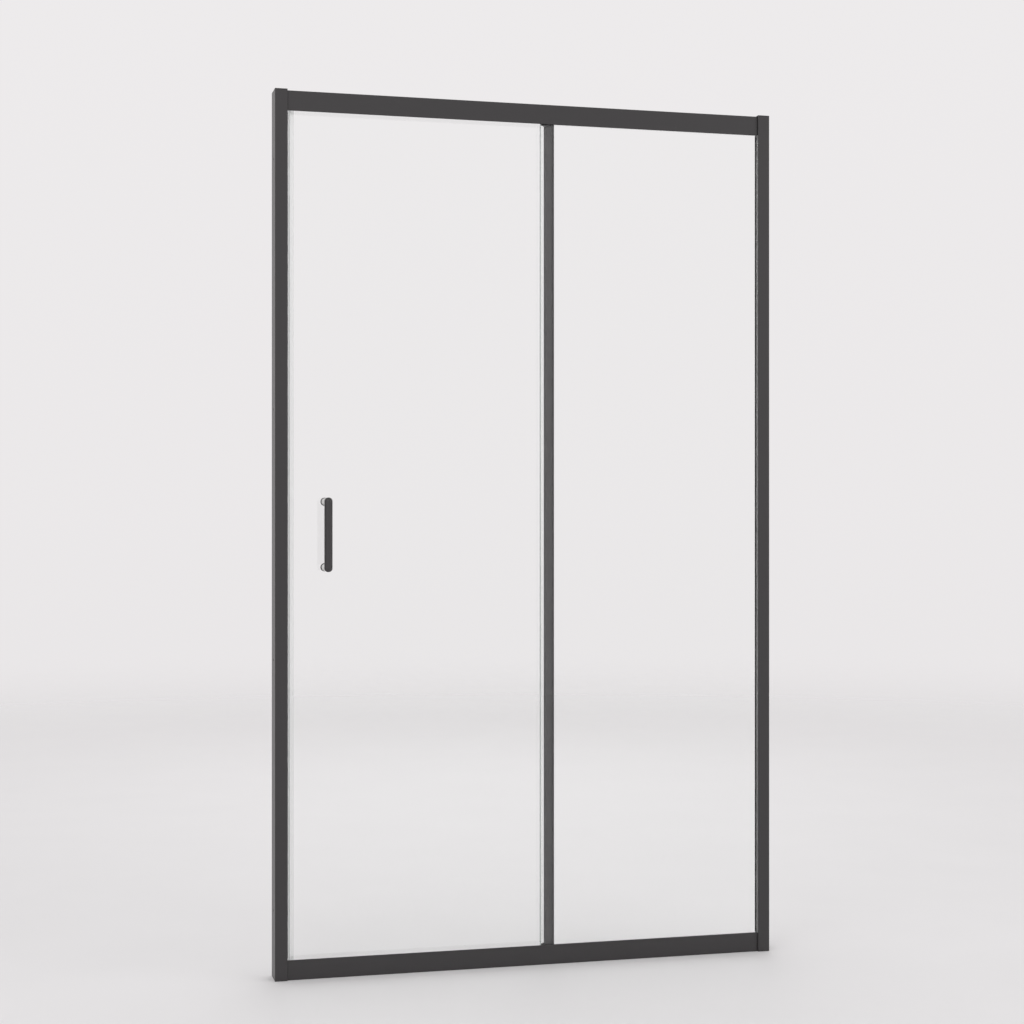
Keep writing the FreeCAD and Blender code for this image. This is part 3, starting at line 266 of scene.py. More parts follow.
# %% Group: fine bumps
fine_bumps, given, made = new_group(
    "fine_bumps", "ShaderNodeTree",
    [("Fine scale", "NodeSocketFloat", 2000.0), ("Broad scale", "NodeSocketFloat", 300.0),
     ("Depth", "NodeSocketFloat", 0.00003)],
    [("Normal", "NodeSocketVector")])
where = add_node(fine_bumps, "ShaderNodeTexCoord").outputs["Object"]
fine = add_node(fine_bumps, "ShaderNodeTexNoise",
                {"Vector": where, "Scale": given["Fine scale"], "Detail": 3.0, "Roughness": 0.6})
broad = add_node(fine_bumps, "ShaderNodeTexNoise",
                 {"Vector": where, "Scale": given["Broad scale"], "Detail": 1.0})
both = calculated(fine_bumps, "ADD", fine.outputs["Fac"], broad.outputs["Fac"])
bump = add_node(fine_bumps, "ShaderNodeBump", {"Strength": 1.0, "Height": both, "Distance": given["Depth"]})
feed(fine_bumps, made, {"Normal": bump.outputs["Normal"]})
print("group:", fine_bumps.name)

# %% Group: cloudy colour
cloudy_colour, given, made = new_group(
    "cloudy_colour", "ShaderNodeTree",
    [("Dark", "NodeSocketColor", (0.1, 0.1, 0.1, 1)), ("Light", "NodeSocketColor", (0.2, 0.2, 0.2, 1)),
     ("Scale", "NodeSocketFloat", 40.0)],
    [("Colour", "NodeSocketColor"), ("Mask", "NodeSocketFloat")])
where = add_node(cloudy_colour, "ShaderNodeTexCoord").outputs["Object"]
cloud = add_node(cloudy_colour, "ShaderNodeTexNoise",
                 {"Vector": where, "Scale": given["Scale"], "Detail": 6.0, "Roughness": 0.65})
mask = remapped(cloudy_colour, cloud.outputs["Fac"], old=(0.3, 0.7))
colour = blended(cloudy_colour, mask, given["Dark"], given["Light"])
feed(cloudy_colour, made, {"Colour": colour, "Mask": mask})
print("group:", cloudy_colour.name)

# %% Group: edge light
edge_light, given, made = new_group(
    "edge_light", "ShaderNodeTree",
    [("Radius", "NodeSocketFloat", 0.001), ("Colour", "NodeSocketColor", (0.1, 0.1, 0.1, 1)),
     ("Edge colour", "NodeSocketColor", (0.3, 0.3, 0.3, 1))],
    [("Colour", "NodeSocketColor")])
surface = add_node(edge_light, "ShaderNodeNewGeometry")
rounded = add_node(edge_light, "ShaderNodeBevel", {"Radius": given["Radius"]}, samples=4)
agree = add_node(edge_light, "ShaderNodeVectorMath",
                 {0: surface.outputs["Normal"], 1: rounded.outputs["Normal"]}, operation="DOT_PRODUCT")
mask = remapped(edge_light, agree.outputs["Value"], old=(0.98, 0.75))
colour = blended(edge_light, mask, given["Colour"], given["Edge colour"])
feed(edge_light, made, {"Colour": colour})
print("group:", edge_light.name)

# %% Group: drawn lines
drawn_lines, given, made = new_group(
    "drawn_lines", "ShaderNodeTree",
    [("Stretch", "NodeSocketVector", (1500.0, 1500.0, 10.0)), ("Depth", "NodeSocketFloat", 0.00001)],
    [("Mask", "NodeSocketFloat"), ("Normal", "NodeSocketVector")])
where = add_node(drawn_lines, "ShaderNodeTexCoord").outputs["Object"]
stretched = add_node(drawn_lines, "ShaderNodeVectorMath", {0: where, 1: given["Stretch"]},
                     operation="MULTIPLY")
lines = add_node(drawn_lines, "ShaderNodeTexNoise",
                 {"Vector": stretched.outputs["Vector"], "Scale": 1.0, "Detail": 4.0, "Roughness": 0.7})
bump = add_node(drawn_lines, "ShaderNodeBump",
                {"Strength": 1.0, "Height": lines.outputs["Fac"], "Distance": given["Depth"]})
feed(drawn_lines, made, {"Mask": lines.outputs["Fac"], "Normal": bump.outputs["Normal"]})
print("group:", drawn_lines.name)


# %% Helpers for materials
def new_material(name):
    """A material with its tree and its Principled shader."""
    material = bpy.data.materials.new(name)
    material.use_nodes = True
    return material, material.node_tree, material.node_tree.nodes["Principled BSDF"]


def add_effect(tree, group, **inputs):
    """What a shared group puts out in a material. An underscore in an input's name stands for a space."""
    effect = add_node(tree, "ShaderNodeGroup", node_tree=group)
    feed(tree, effect, {name.replace("_", " "): value for name, value in inputs.items()})
    return effect.outputs


# %% [markdown]
# ## Powder coat
# The frame is extruded aluminium under a baked-on powder paint, matt and almost black. Powder melts into a
# skin of tiny waves with a fine sandy grain, and draws back a little from sharp edges. A plain grey would
# look like plastic, so the paint gets the grain as bumps, a cloudy tone, and a slightly lighter edge.

# %% Material: powder coat
powder_coat, tree, shader = new_material("powder_coat")
paint_tone = add_effect(tree, cloudy_colour, Dark=(0.0275, 0.0255, 0.0265, 1),
                        Light=(0.0335, 0.0312, 0.0324, 1), Scale=900.0)
paint_edge = add_effect(tree, edge_light, Radius=0.0007, Colour=paint_tone["Colour"],
                        Edge_colour=(0.050, 0.047, 0.0485, 1))
paint_skin = add_effect(tree, fine_bumps, Fine_scale=2600.0, Broad_scale=420.0, Depth=0.000035)
feed(tree, shader, {
    "Base Color": paint_edge["Colour"],
    "Roughness": remapped(tree, paint_tone["Mask"], new=(0.36, 0.44)),
    "Normal": paint_skin["Normal"]})
print("material:", powder_coat.name)

# %% [markdown]
# ## Toughened glass
# Shower glass is 6 mm float glass. Seen through its faces it is nearly colourless, and seen into its ground
# edge it is green, because there the light has travelled a long way through it. So the faces and the edge
# get a material each. The soft PVC of the seals is clear too, but milky, so part of its light is scattered.
# The wedge beside the fixed pane is of a satin PVC, which draws a lamp out into a soft line along its round
# edge. Light from a lamp would be stopped by bending glass, so shadow rays pass a clear shader instead.

# %% Materials: glass faces, ground edge and clear PVC
bending_index = 1.52
wiping_marks_scale = 7.0


def clear_material(name, colour, clearness, roughness, shade):
    """A clear material. clearness is the share of light let through, and shade what is left behind it."""
    material, tree, shader = new_material(name)
    wiped = add_effect(tree, cloudy_colour, Scale=wiping_marks_scale)
    feed(tree, shader, {
        "Base Color": colour, "Transmission Weight": clearness, "IOR": bending_index,
        "Roughness": remapped(tree, wiped["Mask"], new=roughness)})
    path = add_node(tree, "ShaderNodeLightPath")
    clear = add_node(tree, "ShaderNodeBsdfTransparent", {"Color": shade})
    either = add_node(tree, "ShaderNodeMixShader", {
        0: path.outputs["Is Shadow Ray"], 1: shader.outputs["BSDF"], 2: clear.outputs["BSDF"]})
    feed(tree, tree.nodes["Material Output"], {"Surface": either.outputs["Shader"]})
    print("material:", name)
    return material


pvc_colour = (0.965, 0.97, 0.968, 1)
pvc_shade = (0.85, 0.86, 0.86, 1)
glass_face = clear_material("glass_face", (0.994, 0.998, 0.996, 1), clearness=1.0, roughness=(0.0, 0.012),
                            shade=(0.93, 0.95, 0.94, 1))
glass_edge = clear_material("glass_edge", (0.80, 0.91, 0.875, 1), clearness=0.6, roughness=(0.30, 0.45),
                            shade=(0.8, 0.9, 0.87, 1))
clear_pvc = clear_material("clear_pvc", pvc_colour, clearness=0.95, roughness=(0.05, 0.12), shade=pvc_shade)
satin_pvc = clear_material("satin_pvc", pvc_colour, clearness=0.90, roughness=(0.42, 0.50), shade=pvc_shade)

# %% [markdown]
# ## Rubber, plastics and nylon
# Gaskets are matt rubber with a little bloom, end caps and guides are moulded plastic with an eroded
# mould's grain, and wheels and bushes are natural nylon, off-white and slightly waxy. They share the same
# two effects and differ only in their values, so one function makes them all.

# %% Materials: rubber, plastics and nylon
fine_grains_across_a_broad_one = 6


def moulded_material(name, dark, light, tone_scale, roughness, grain, depth):
    """A dull material with a cloudy tone and a fine skin. roughness is its lowest and highest value."""
    material, tree, shader = new_material(name)
    tone = add_effect(tree, cloudy_colour, Dark=dark, Light=light, Scale=tone_scale)
    broad_scale = grain / fine_grains_across_a_broad_one
    skin = add_effect(tree, fine_bumps, Fine_scale=grain, Broad_scale=broad_scale, Depth=depth)
    feed(tree, shader, {
        "Base Color": tone["Colour"],
        "Roughness": remapped(tree, tone["Mask"], new=roughness),
        "Normal": skin["Normal"]})
    print("material:", name)
    return material


black_rubber = moulded_material(
    "black_rubber", (0.010, 0.010, 0.0105, 1), (0.022, 0.022, 0.023, 1),
    tone_scale=260.0, roughness=(0.62, 0.80), grain=3200.0, depth=0.00003)
black_plastic = moulded_material(
    "black_plastic", (0.016, 0.016, 0.0165, 1), (0.022, 0.022, 0.0225, 1),
    tone_scale=120.0, roughness=(0.42, 0.52), grain=4200.0, depth=0.00003)
white_nylon = moulded_material(
    "white_nylon", (0.70, 0.69, 0.64, 1), (0.78, 0.77, 0.73, 1),
    tone_scale=90.0, roughness=(0.34, 0.46), grain=1500.0, depth=0.00002)
brush_fibre = moulded_material(
    "brush_fibre", (0.012, 0.012, 0.013, 1), (0.035, 0.035, 0.036, 1),
    tone_scale=900.0, roughness=(0.60, 0.75), grain=5000.0, depth=0.00002)

# %% [markdown]
# ## Steel
# Plates, pins and screws are stainless steel. Rolled plate carries faint lines along its length, and those
# lines spread its highlights. The inner discs and screws of the handle are blackened, so that they look
# right through the glass.

# %% Materials: stainless and blackened steel
def steel_material(name, dark, light, metallic, roughness):
    """Steel with rolling lines along X."""
    material, tree, shader = new_material(name)
    tone = add_effect(tree, cloudy_colour, Dark=dark, Light=light, Scale=160.0)
    rolled = add_effect(tree, drawn_lines, Stretch=(14.0, 2600.0, 2600.0), Depth=0.000006)
    feed(tree, shader, {
        "Base Color": tone["Colour"], "Metallic": metallic,
        "Roughness": remapped(tree, rolled["Mask"], new=roughness),
        "Normal": rolled["Normal"]})
    print("material:", name)
    return material


stainless_steel = steel_material(
    "stainless_steel", (0.50, 0.50, 0.49, 1), (0.60, 0.60, 0.59, 1), metallic=1.0, roughness=(0.20, 0.36))
blackened_steel = steel_material(
    "blackened_steel", (0.022, 0.022, 0.023, 1), (0.034, 0.034, 0.035, 1), metallic=0.0,
    roughness=(0.30, 0.42))

# %% [markdown]
# ## Which finish goes where
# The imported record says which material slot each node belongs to. One table turns the slot into a finish,
# and every node gets its finish here, so that nothing is left plain, however deep it lies inside.

# %% Give every node its finish
finish_of_slot = {
    "powder_coat": powder_coat, "clear_glass": glass_face, "clear_pvc": clear_pvc,
    "black_rubber": black_rubber, "black_plastic": black_plastic, "white_nylon": white_nylon,
    "stainless_steel": stainless_steel, "black_metal": blackened_steel, "brush_pile": brush_fibre,
}
slot_of = {entry["node"]: entry["material_slot"] for entry in frame["record"]["subparts"]}
body_of = {name: body for body, names in frame["record"]["behaviour"]["bodies"].items() for name in names}
for name, solid in nodes.items():
    solid.material_slots[0].material = finish_of_slot[slot_of[name]]
print("finished nodes:", len(nodes))

# %% [markdown]
# ## From a solid to a finished piece
# The engineering solids have knife-sharp edges and arrive as loose triangles. A real edge is always a
# little round, and that thin line of light along it is what makes metal look like metal. So each solid is
# copied, its triangles are welded into whole faces, and its sharp edges get a small bevel. The flat faces
# keep flat normals, and the curved ones are shaded smooth.

# %% Helpers for finished pieces
mm = 0.001
weld_distance = 0.000001
flat_angle = math.radians(0.6)
sharp_angle = math.radians(34)


def keep_result(piece):
    """The piece with the mesh that its modifiers make, and without the modifiers."""
    seen = piece.evaluated_get(bpy.context.evaluated_depsgraph_get())
    mesh = bpy.data.meshes.new_from_object(seen)
    piece.modifiers.clear()
    piece.data = mesh
    mesh.name = piece.name
    return piece


def linked(name, mesh):
    """A new object in the scene with this mesh."""
    piece = bpy.data.objects.new(name, mesh)
    scene.collection.objects.link(piece)
    return piece


def keep_flats_flat(piece):
    """The result of the modifiers, with shading normals that follow the largest faces."""
    weighted = piece.modifiers.new("normals", "WEIGHTED_NORMAL")
    weighted.keep_sharp = True
    return keep_result(piece)


def shaded(piece):
    """The piece with its faces outward, its round parts smooth and its flat faces flat."""
    mesh = piece.data
    work = bmesh.new()
    work.from_mesh(mesh)
    bmesh.ops.remove_doubles(work, verts=work.verts, dist=weld_distance)
    bmesh.ops.recalc_face_normals(work, faces=work.faces)
    work.to_mesh(mesh)
    work.free()
    mesh.shade_smooth()
    mesh.set_sharp_from_angle(angle=sharp_angle)
    return keep_flats_flat(piece)


def stand_for(piece, node):
    """The piece takes the place of a node and rides with its body."""
    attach(piece, body_of[node])
    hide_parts(node)
    print("%-26s %6d faces" % (piece.name, len(piece.data.polygons)))


# %% Helpers that finish a copy of a solid
def welded(name):
    """A copy of a node's mesh with its doubles merged and its flat faces whole."""
    mesh = bpy.data.meshes.new(name + "_welded")
    work = bmesh.new()
    work.from_mesh(nodes[name].data)
    bmesh.ops.remove_doubles(work, verts=work.verts, dist=weld_distance)
    bmesh.ops.dissolve_limit(work, angle_limit=flat_angle, verts=work.verts, edges=work.edges)
    work.to_mesh(mesh)
    work.free()
    return mesh


def finished(name, edge_width):
    """A finished copy of one node with its sharp edges rounded by edge_width."""
    mesh = welded(name)
    mesh.materials.append(finish_of_slot[slot_of[name]])
    mesh.shade_smooth()
    piece = linked(name + "_finished", mesh)
    bevel = piece.modifiers.new("edges", "BEVEL")
    bevel.limit_method = "ANGLE"
    bevel.angle_limit = sharp_angle
    bevel.width = edge_width
    bevel.segments = 2
    bevel.use_clamp_overlap = False
    bevel.loop_slide = False
    stand_for(keep_flats_flat(piece), name)


# %% Finish the aluminium, the plates and the moulded brackets
sawn_edge = 0.25 * mm
moulded_edge = 0.2 * mm
pressed_edge = 0.3 * mm
for name in ("wall_channel_left", "wall_channel_right", "closing_profile", "glazing_profile", "top_rail",
             "bottom_rail", "handle_posts"):
    finished(name, sawn_edge)
for name in ("channel_cap_left", "channel_cap_right", "splash_block_top", "splash_block_bottom",
             "stile_cap_top", "stile_cap_bottom", "track_stop_left", "track_stop_right",
             "track_stop_bumpers", "guide_housing_left", "guide_housing_right", "guide_plunger_left",
             "guide_plunger_right", "pane_setting_blocks"):
    finished(name, moulded_edge)
for name in ("hanger_plate_left", "hanger_plate_right"):
    finished(name, pressed_edge)

# %% [markdown]
# ## The panes
# A pane is one sheet with its edges ground to a small chamfer, and the door's sheet has holes for its
# fittings. The two big faces get the clear material. The chamfers, the edges and the walls of the holes get
# the green one, with a slightly rough surface as a grinding wheel leaves it.

# %% Glass panes with ground edges
square_on = 0.99


def pane(name):
    """A node's sheet of glass with one material for its faces and one for its edges."""
    mesh = welded(name)
    mesh.materials.append(glass_face)
    mesh.materials.append(glass_edge)
    for face in mesh.polygons:
        face.material_index = 0 if abs(face.normal.y) > square_on else 1
    mesh.shade_smooth()
    mesh.set_sharp_from_angle(angle=sharp_angle)
    stand_for(linked(name + "_sheet", mesh), name)


for name in ("fixed_pane", "door_glass"):
    pane(name)

# %% [markdown]
# ## Extruded strips with Geometry Nodes
# Seals, gaskets and the stile are pushed through a die, so one outline runs their whole length. The tree
# does the same: it takes a flat outline, rounds each corner by its own radius, fills it and pulls it to a
# length. An outline is a list of corners with a radius each, which is how a die is drawn too, and a change
# of the section is a change of one number. This one tree makes every strip on the door.

# %% Helpers for Geometry Nodes
def end_tree(tree, geometry, finish, made):
    """The last nodes of every tree: copies become real meshes, and the finish is set on them."""
    real = add_node(tree, "GeometryNodeRealizeInstances", {"Geometry": geometry})
    coloured = add_node(tree, "GeometryNodeSetMaterial",
                        {"Geometry": real.outputs["Geometry"], "Material": finish})
    feed(tree, made, {0: coloured.outputs["Geometry"]})
    print("tree:", tree.name, "with", len(tree.nodes), "nodes")


def grown(name, base, tree, **settings):
    """What a Geometry Nodes tree makes of a base mesh, as a plain mesh."""
    piece = linked(name, base)
    modifier = piece.modifiers.new("growth", "NODES")
    modifier.node_group = tree
    for item in tree.interface.items_tree:
        key = item.name.replace(" ", "_")
        if item.in_out == "INPUT" and key in settings:
            modifier[item.identifier] = settings[key]
    return keep_result(piece)


# %% Tree: extruded strip
strip_tree, given, made = new_group(
    "extruded_strip", "GeometryNodeTree",
    [("Outline", "NodeSocketGeometry", None), ("Length", "NodeSocketFloat", 1.0),
     ("Start", "NodeSocketVector", (0.0, 0.0, 0.0)), ("Turn", "NodeSocketVector", (0.0, 0.0, 0.0)),
     ("Corner steps", "NodeSocketInt", 4), ("Finish", "NodeSocketMaterial", None)],
    [("Strip", "NodeSocketGeometry")])
loops = add_node(strip_tree, "GeometryNodeMeshToCurve", {"Mesh": given["Outline"]})
roundness = add_node(strip_tree, "GeometryNodeInputNamedAttribute", {"Name": "roundness"},
                     data_type="FLOAT")
rounded = add_node(strip_tree, "GeometryNodeFilletCurve", {
    "Curve": loops.outputs["Curve"], "Radius": roundness.outputs["Attribute"],
    "Count": given["Corner steps"], "Limit Radius": True}, mode="POLY")
filled = add_node(strip_tree, "GeometryNodeFillCurve", {"Curve": rounded.outputs["Curve"]}, mode="NGONS")
pull = add_node(strip_tree, "ShaderNodeCombineXYZ", {"Z": given["Length"]})
pulled = add_node(strip_tree, "GeometryNodeExtrudeMesh", {
    "Mesh": filled.outputs["Mesh"], "Offset": pull.outputs["Vector"], "Individual": False}, mode="FACES")
first_end = add_node(strip_tree, "GeometryNodeFlipFaces", {"Mesh": filled.outputs["Mesh"]})
whole = add_node(strip_tree, "GeometryNodeJoinGeometry", {"Geometry": first_end.outputs["Mesh"]})
feed(strip_tree, whole, {"Geometry": pulled.outputs["Mesh"]})
closed = add_node(strip_tree, "GeometryNodeMergeByDistance", {
    "Geometry": whole.outputs["Geometry"], "Distance": weld_distance})
placed = add_node(strip_tree, "GeometryNodeTransform", {
    "Geometry": closed.outputs["Geometry"], "Translation": given["Start"], "Rotation": given["Turn"]})
end_tree(strip_tree, placed.outputs["Geometry"], given["Finish"], made)

# %% Helpers for strips
upright = (0.0, 0.0, 0.0)
lying_along_x = (math.pi / 2, 0.0, math.pi / 2)


def outline_mesh(name, loops):
    """Closed loops as a flat mesh. Each corner is (across, up, roundness) in millimetres."""
    corners = []
    edges = []
    for loop in loops:
        first = len(corners)
        edges += [(first + i, first + (i + 1) % len(loop)) for i in range(len(loop))]
        corners += loop
    mesh = bpy.data.meshes.new(name)
    mesh.from_pydata([(across * mm, up * mm, 0) for across, up, size in corners], edges, [])
    roundness = mesh.attributes.new("roundness", "FLOAT", "POINT")
    for i, (across, up, size) in enumerate(corners):
        roundness.data[i].value = size * mm
    return mesh


def strip(name, loops, start, length, turn, finish):
    """One extruded strip, its faces outward and its round corners smooth."""
    outline = outline_mesh(name + "_outline", loops)
    return shaded(grown(name, outline, strip_tree, Length=length, Start=start, Turn=turn, Finish=finish))


def upright_strip(node, loops, finish):
    """An upright strip that stands for a node, with the node's length."""
    low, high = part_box(node)
    stand_for(strip(node + "_strip", loops, (0, 0, low.z), high.z - low.z, upright, finish), node)


def mirrored(half):
    """A closed loop from the half of it where up is positive."""
    return half + [(across, -up, size) for across, up, size in reversed(half)]


def in_mm(node):
    """Lowest and highest corner of a node in millimetres."""
    low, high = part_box(node)
    return low / mm, high / mm


# %% [markdown]
# ## Clear seals
# Where the door closes, a hollow bulb on the frame meets a hollow nose on the glass, and both give a
# little. The fixed pane's free edge wears a thin clear trim, and a wedge presses on its front at the other
# edge. The seals are drawn a hair's breadth off the glass they grip: two clear surfaces in exactly one
# place confuse the light in a render, and a real seal has air there too.

# %% Clear seal on the door's leading edge
air = 0.06
seal_wall = 0.8
nose_half = 2.4
nose_floor = 1.0
nose_skin = 0.1
glass_low, glass_high = in_mm("door_glass")

low, high = in_mm("leading_seal")
seal_base = glass_low.x - nose_floor
hollow_start = low.x + seal_wall
hollow_end = seal_base - nose_skin
hollow_half = nose_half - seal_wall
upright_strip("leading_seal", [
    mirrored([(low.x, nose_half, 1.3), (seal_base, nose_half, 0.3), (seal_base, high.y, 0.7),
              (high.x, high.y, 0.5), (high.x, glass_high.y + air, 0.2),
              (glass_low.x - air, glass_high.y + air, 0.2)]),
    mirrored([(hollow_start, hollow_half, 0.7), (hollow_end, hollow_half, 0.3)]),
], clear_pvc)

# %% Clear bulb seal that the door closes on
barb_half = 3.2
barb_length = 1.2
neck_half = 1.7
neck_length = 2.3
flange_thickness = 1.5
bulb_half = 4.5

low, high = in_mm("closing_seal")
barb_front = low.x + barb_length
root_front = barb_front + neck_length
flange_front = root_front + flange_thickness
hollow_end = high.x - seal_wall
hollow_half = bulb_half - seal_wall
upright_strip("closing_seal", [
    mirrored([(low.x, barb_half, 0.5), (barb_front, barb_half, 0.2), (barb_front, neck_half, 0.2),
              (root_front, neck_half, 0.1), (root_front, high.y, 0.5), (flange_front, high.y, 0.7),
              (flange_front, bulb_half, 0.4), (high.x, bulb_half, 2.6)]),
    mirrored([(flange_front, hollow_half, 0.3), (hollow_end, hollow_half, 1.9)]),
], clear_pvc)

# %% Clear trim and satin wedge of the fixed pane
wedge_nose_width = 3.0
wedge_root_thickness = 2.0
pane_low, pane_high = in_mm("fixed_pane")
gap_front = pane_low.y - air
gap_rear = pane_high.y + air
gap_side = pane_low.x - air

low, high = in_mm("pane_edge_seal")
upright_strip("pane_edge_seal", [[
    (low.x, low.y, 0.7), (high.x, low.y, 0.3), (high.x, gap_front, 0.1), (gap_side, gap_front, 0.1),
    (gap_side, gap_rear, 0.1), (high.x, gap_rear, 0.1), (high.x, high.y, 0.3), (low.x, high.y, 0.7)]],
    clear_pvc)

low, high = in_mm("side_glazing_wedge")
nose_end = low.x + wedge_nose_width
root_front = pane_low.y - wedge_root_thickness
upright_strip("side_glazing_wedge", [[
    (low.x, low.y, 1.3), (nose_end, low.y, 0.3), (nose_end, root_front, 0.2), (high.x, root_front, 0.5),
    (high.x, gap_front, 0.3), (low.x, gap_front, 0.6)]], satin_pvc)

# %% [markdown]
# ## Black gaskets
# Rubber strips hold the fixed pane in the rails and in the side profile, and a U of rubber grips the door's
# glass inside the stile. Only a thin dark line of each shows, so what matters is a round lip that catches
# some light. Some nodes hold several solids, and a helper finds the box of each of them.

# %% Helpers for pieces made of several solids
def from_the_left(box):
    """Where a box comes in a row that is sorted by X, then Z, then Y, to a hundredth of a millimetre."""
    low = box[0]
    return round(low.x, 5), round(low.z, 5), round(low.y, 5)


def separate_solids(node):
    """The lowest and highest corner of each separate solid of a node, from left to right."""
    work = bmesh.new()
    work.from_mesh(nodes[node].data)
    bmesh.ops.remove_doubles(work, verts=work.verts, dist=weld_distance)
    waiting = set(work.verts)
    boxes = []
    while waiting:
        found = {waiting.pop()}
        rim = set(found)
        while rim:
            rim = {edge.other_vert(vert) for vert in rim for edge in vert.link_edges} - found
            found |= rim
        waiting -= found
        places = [vert.co for vert in found]
        boxes.append((Vector([min(place[axis] for place in places) for axis in range(3)]),
                      Vector([max(place[axis] for place in places) for axis in range(3)])))
    work.free()
    return sorted(boxes, key=from_the_left)


def merged(name, pieces, finish):
    """One piece from several of one finish."""
    work = bmesh.new()
    for piece in pieces:
        work.from_mesh(piece.data)
        bpy.data.objects.remove(piece)
    mesh = bpy.data.meshes.new(name)
    work.to_mesh(mesh)
    work.free()
    mesh.materials.append(finish)
    return shaded(linked(name, mesh))


# %% Gaskets of the fixed pane
lip = 0.6


def rounded_box(across_low, across_high, up_low, up_high):
    """A loop in metres, as corners in millimetres with round lips."""
    places = [(across_low, up_low), (across_high, up_low), (across_high, up_high), (across_low, up_high)]
    return [(across / mm, up / mm, lip) for across, up in places]


for node in ("top_glazing_gaskets", "bottom_glazing_gaskets"):
    bars = [strip("bar", [rounded_box(low.y, high.y, low.z, high.z)], (low.x, 0, 0), high.x - low.x,
                  lying_along_x, black_rubber) for low, high in separate_solids(node)]
    stand_for(merged(node + "_strips", bars, black_rubber), node)
low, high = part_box("side_glazing_gasket")
upright_strip("side_glazing_gasket", [rounded_box(low.x, high.x, low.y, high.y)], black_rubber)

# %% Gasket of the stile
low, high = in_mm("stile_gasket")
upright_strip("stile_gasket", [mirrored([
    (glass_high.x, glass_high.y, 0.1), (low.x, glass_high.y, 0.5), (low.x, high.y, 0.9),
    (high.x, high.y, 0.5)])], black_rubber)

# %% [markdown]
# ## The stile and its brush
# The stile is one more extrusion: a deep pocket for the glass, a closed chamber that stiffens it, and a
# T-slot in its front face. A brush strip sits in the slot and wipes the back of the fixed pane, which keeps
# the water in. The pile is thousands of fibres in tufts. Each tuft here is a slim cone with its own lean,
# grown by a tree on rows of points, and the fixed seed makes it the same each time.

# %% Stile
wall = 2.0
corner = 0.8
pocket_floor = 2.0
slot_start_inset = 4.7
slot_end_inset = 2.9
lip_thickness = 1.5
room_side = 1.4
room_height = 1.6

low, high = in_mm("trailing_stile")
pocket_end = glass_high.x + pocket_floor
slot_start = high.x - slot_start_inset
slot_end = high.x - slot_end_inset
slot_depth = low.y + lip_thickness
room_start = slot_start - room_side
room_end = slot_end + room_side
room_depth = slot_depth + room_height
outside = [
    (low.x, low.y, corner), (slot_start, low.y, 0.2), (slot_start, slot_depth, 0.1),
    (room_start, slot_depth, 0.1), (room_start, room_depth, 0.1), (room_end, room_depth, 0.1),
    (room_end, slot_depth, 0.1), (slot_end, slot_depth, 0.1), (slot_end, low.y, 0.2),
    (high.x, low.y, corner), (high.x, high.y, corner), (low.x, high.y, corner),
    (low.x, high.y - wall, 0.3), (pocket_end, high.y - wall, 0.3), (pocket_end, low.y + wall, 0.3),
    (low.x, low.y + wall, 0.3)]
chamber = [
    (pocket_end + wall, room_depth + wall, 0.3), (high.x - wall, room_depth + wall, 0.3),
    (high.x - wall, high.y - wall, 0.3), (pocket_end + wall, high.y - wall, 0.3)]
upright_strip("trailing_stile", [outside, chamber], powder_coat)

# %% Tree: brush pile
tip_share = 0.6
shortest_tuft = 0.93

pile_tree, given, made = new_group(
    "brush_pile", "GeometryNodeTree",
    [("Row starts", "NodeSocketGeometry", None), ("Tufts in a row", "NodeSocketInt", 100),
     ("Spacing", "NodeSocketFloat", 0.001), ("Pile height", "NodeSocketFloat", 0.007),
     ("Tuft radius", "NodeSocketFloat", 0.0004), ("Lean", "NodeSocketFloat", 0.05),
     ("Turn", "NodeSocketVector", (0.0, 0.0, 0.0)), ("Finish", "NodeSocketMaterial", None)],
    [("Pile", "NodeSocketGeometry")])
step_up = add_node(pile_tree, "ShaderNodeCombineXYZ", {"Z": given["Spacing"]})
row = add_node(pile_tree, "GeometryNodeMeshLine", {
    "Count": given["Tufts in a row"], "Offset": step_up.outputs["Vector"]})
rows = add_node(pile_tree, "GeometryNodeInstanceOnPoints", {
    "Points": given["Row starts"], "Instance": row.outputs["Mesh"]})
row_points = add_node(pile_tree, "GeometryNodeRealizeInstances", {"Geometry": rows.outputs["Instances"]})
tuft = add_node(pile_tree, "GeometryNodeMeshCone", {
    "Vertices": 5, "Radius Top": calculated(pile_tree, "MULTIPLY", given["Tuft radius"], tip_share),
    "Radius Bottom": given["Tuft radius"], "Depth": given["Pile height"]})
lean = add_node(pile_tree, "FunctionNodeRandomValue", {
    0: (-1.0, -1.0, -1.0), 1: (1.0, 1.0, 1.0), "Seed": 7}, data_type="FLOAT_VECTOR")
leaning = add_node(pile_tree, "ShaderNodeVectorMath", {
    0: lean.outputs["Value"], "Scale": given["Lean"]}, operation="SCALE")
turned_by = add_node(pile_tree, "ShaderNodeVectorMath", {
    0: leaning.outputs["Vector"], 1: given["Turn"]}, operation="ADD")
height = add_node(pile_tree, "FunctionNodeRandomValue", {
    0: (1.0, 1.0, shortest_tuft), 1: (1.0, 1.0, 1.0), "Seed": 11}, data_type="FLOAT_VECTOR")
tufts = add_node(pile_tree, "GeometryNodeInstanceOnPoints", {
    "Points": row_points.outputs["Geometry"], "Instance": tuft.outputs["Mesh"],
    "Rotation": turned_by.outputs["Vector"], "Scale": height.outputs["Value"]})
end_tree(pile_tree, tufts.outputs["Instances"], given["Finish"], made)

# %% Brush
backing_thickness = 1.5
row_offsets = (-0.45, 0.0, 0.45)
tuft_spacing = 1.1
tuft_radius = 0.42

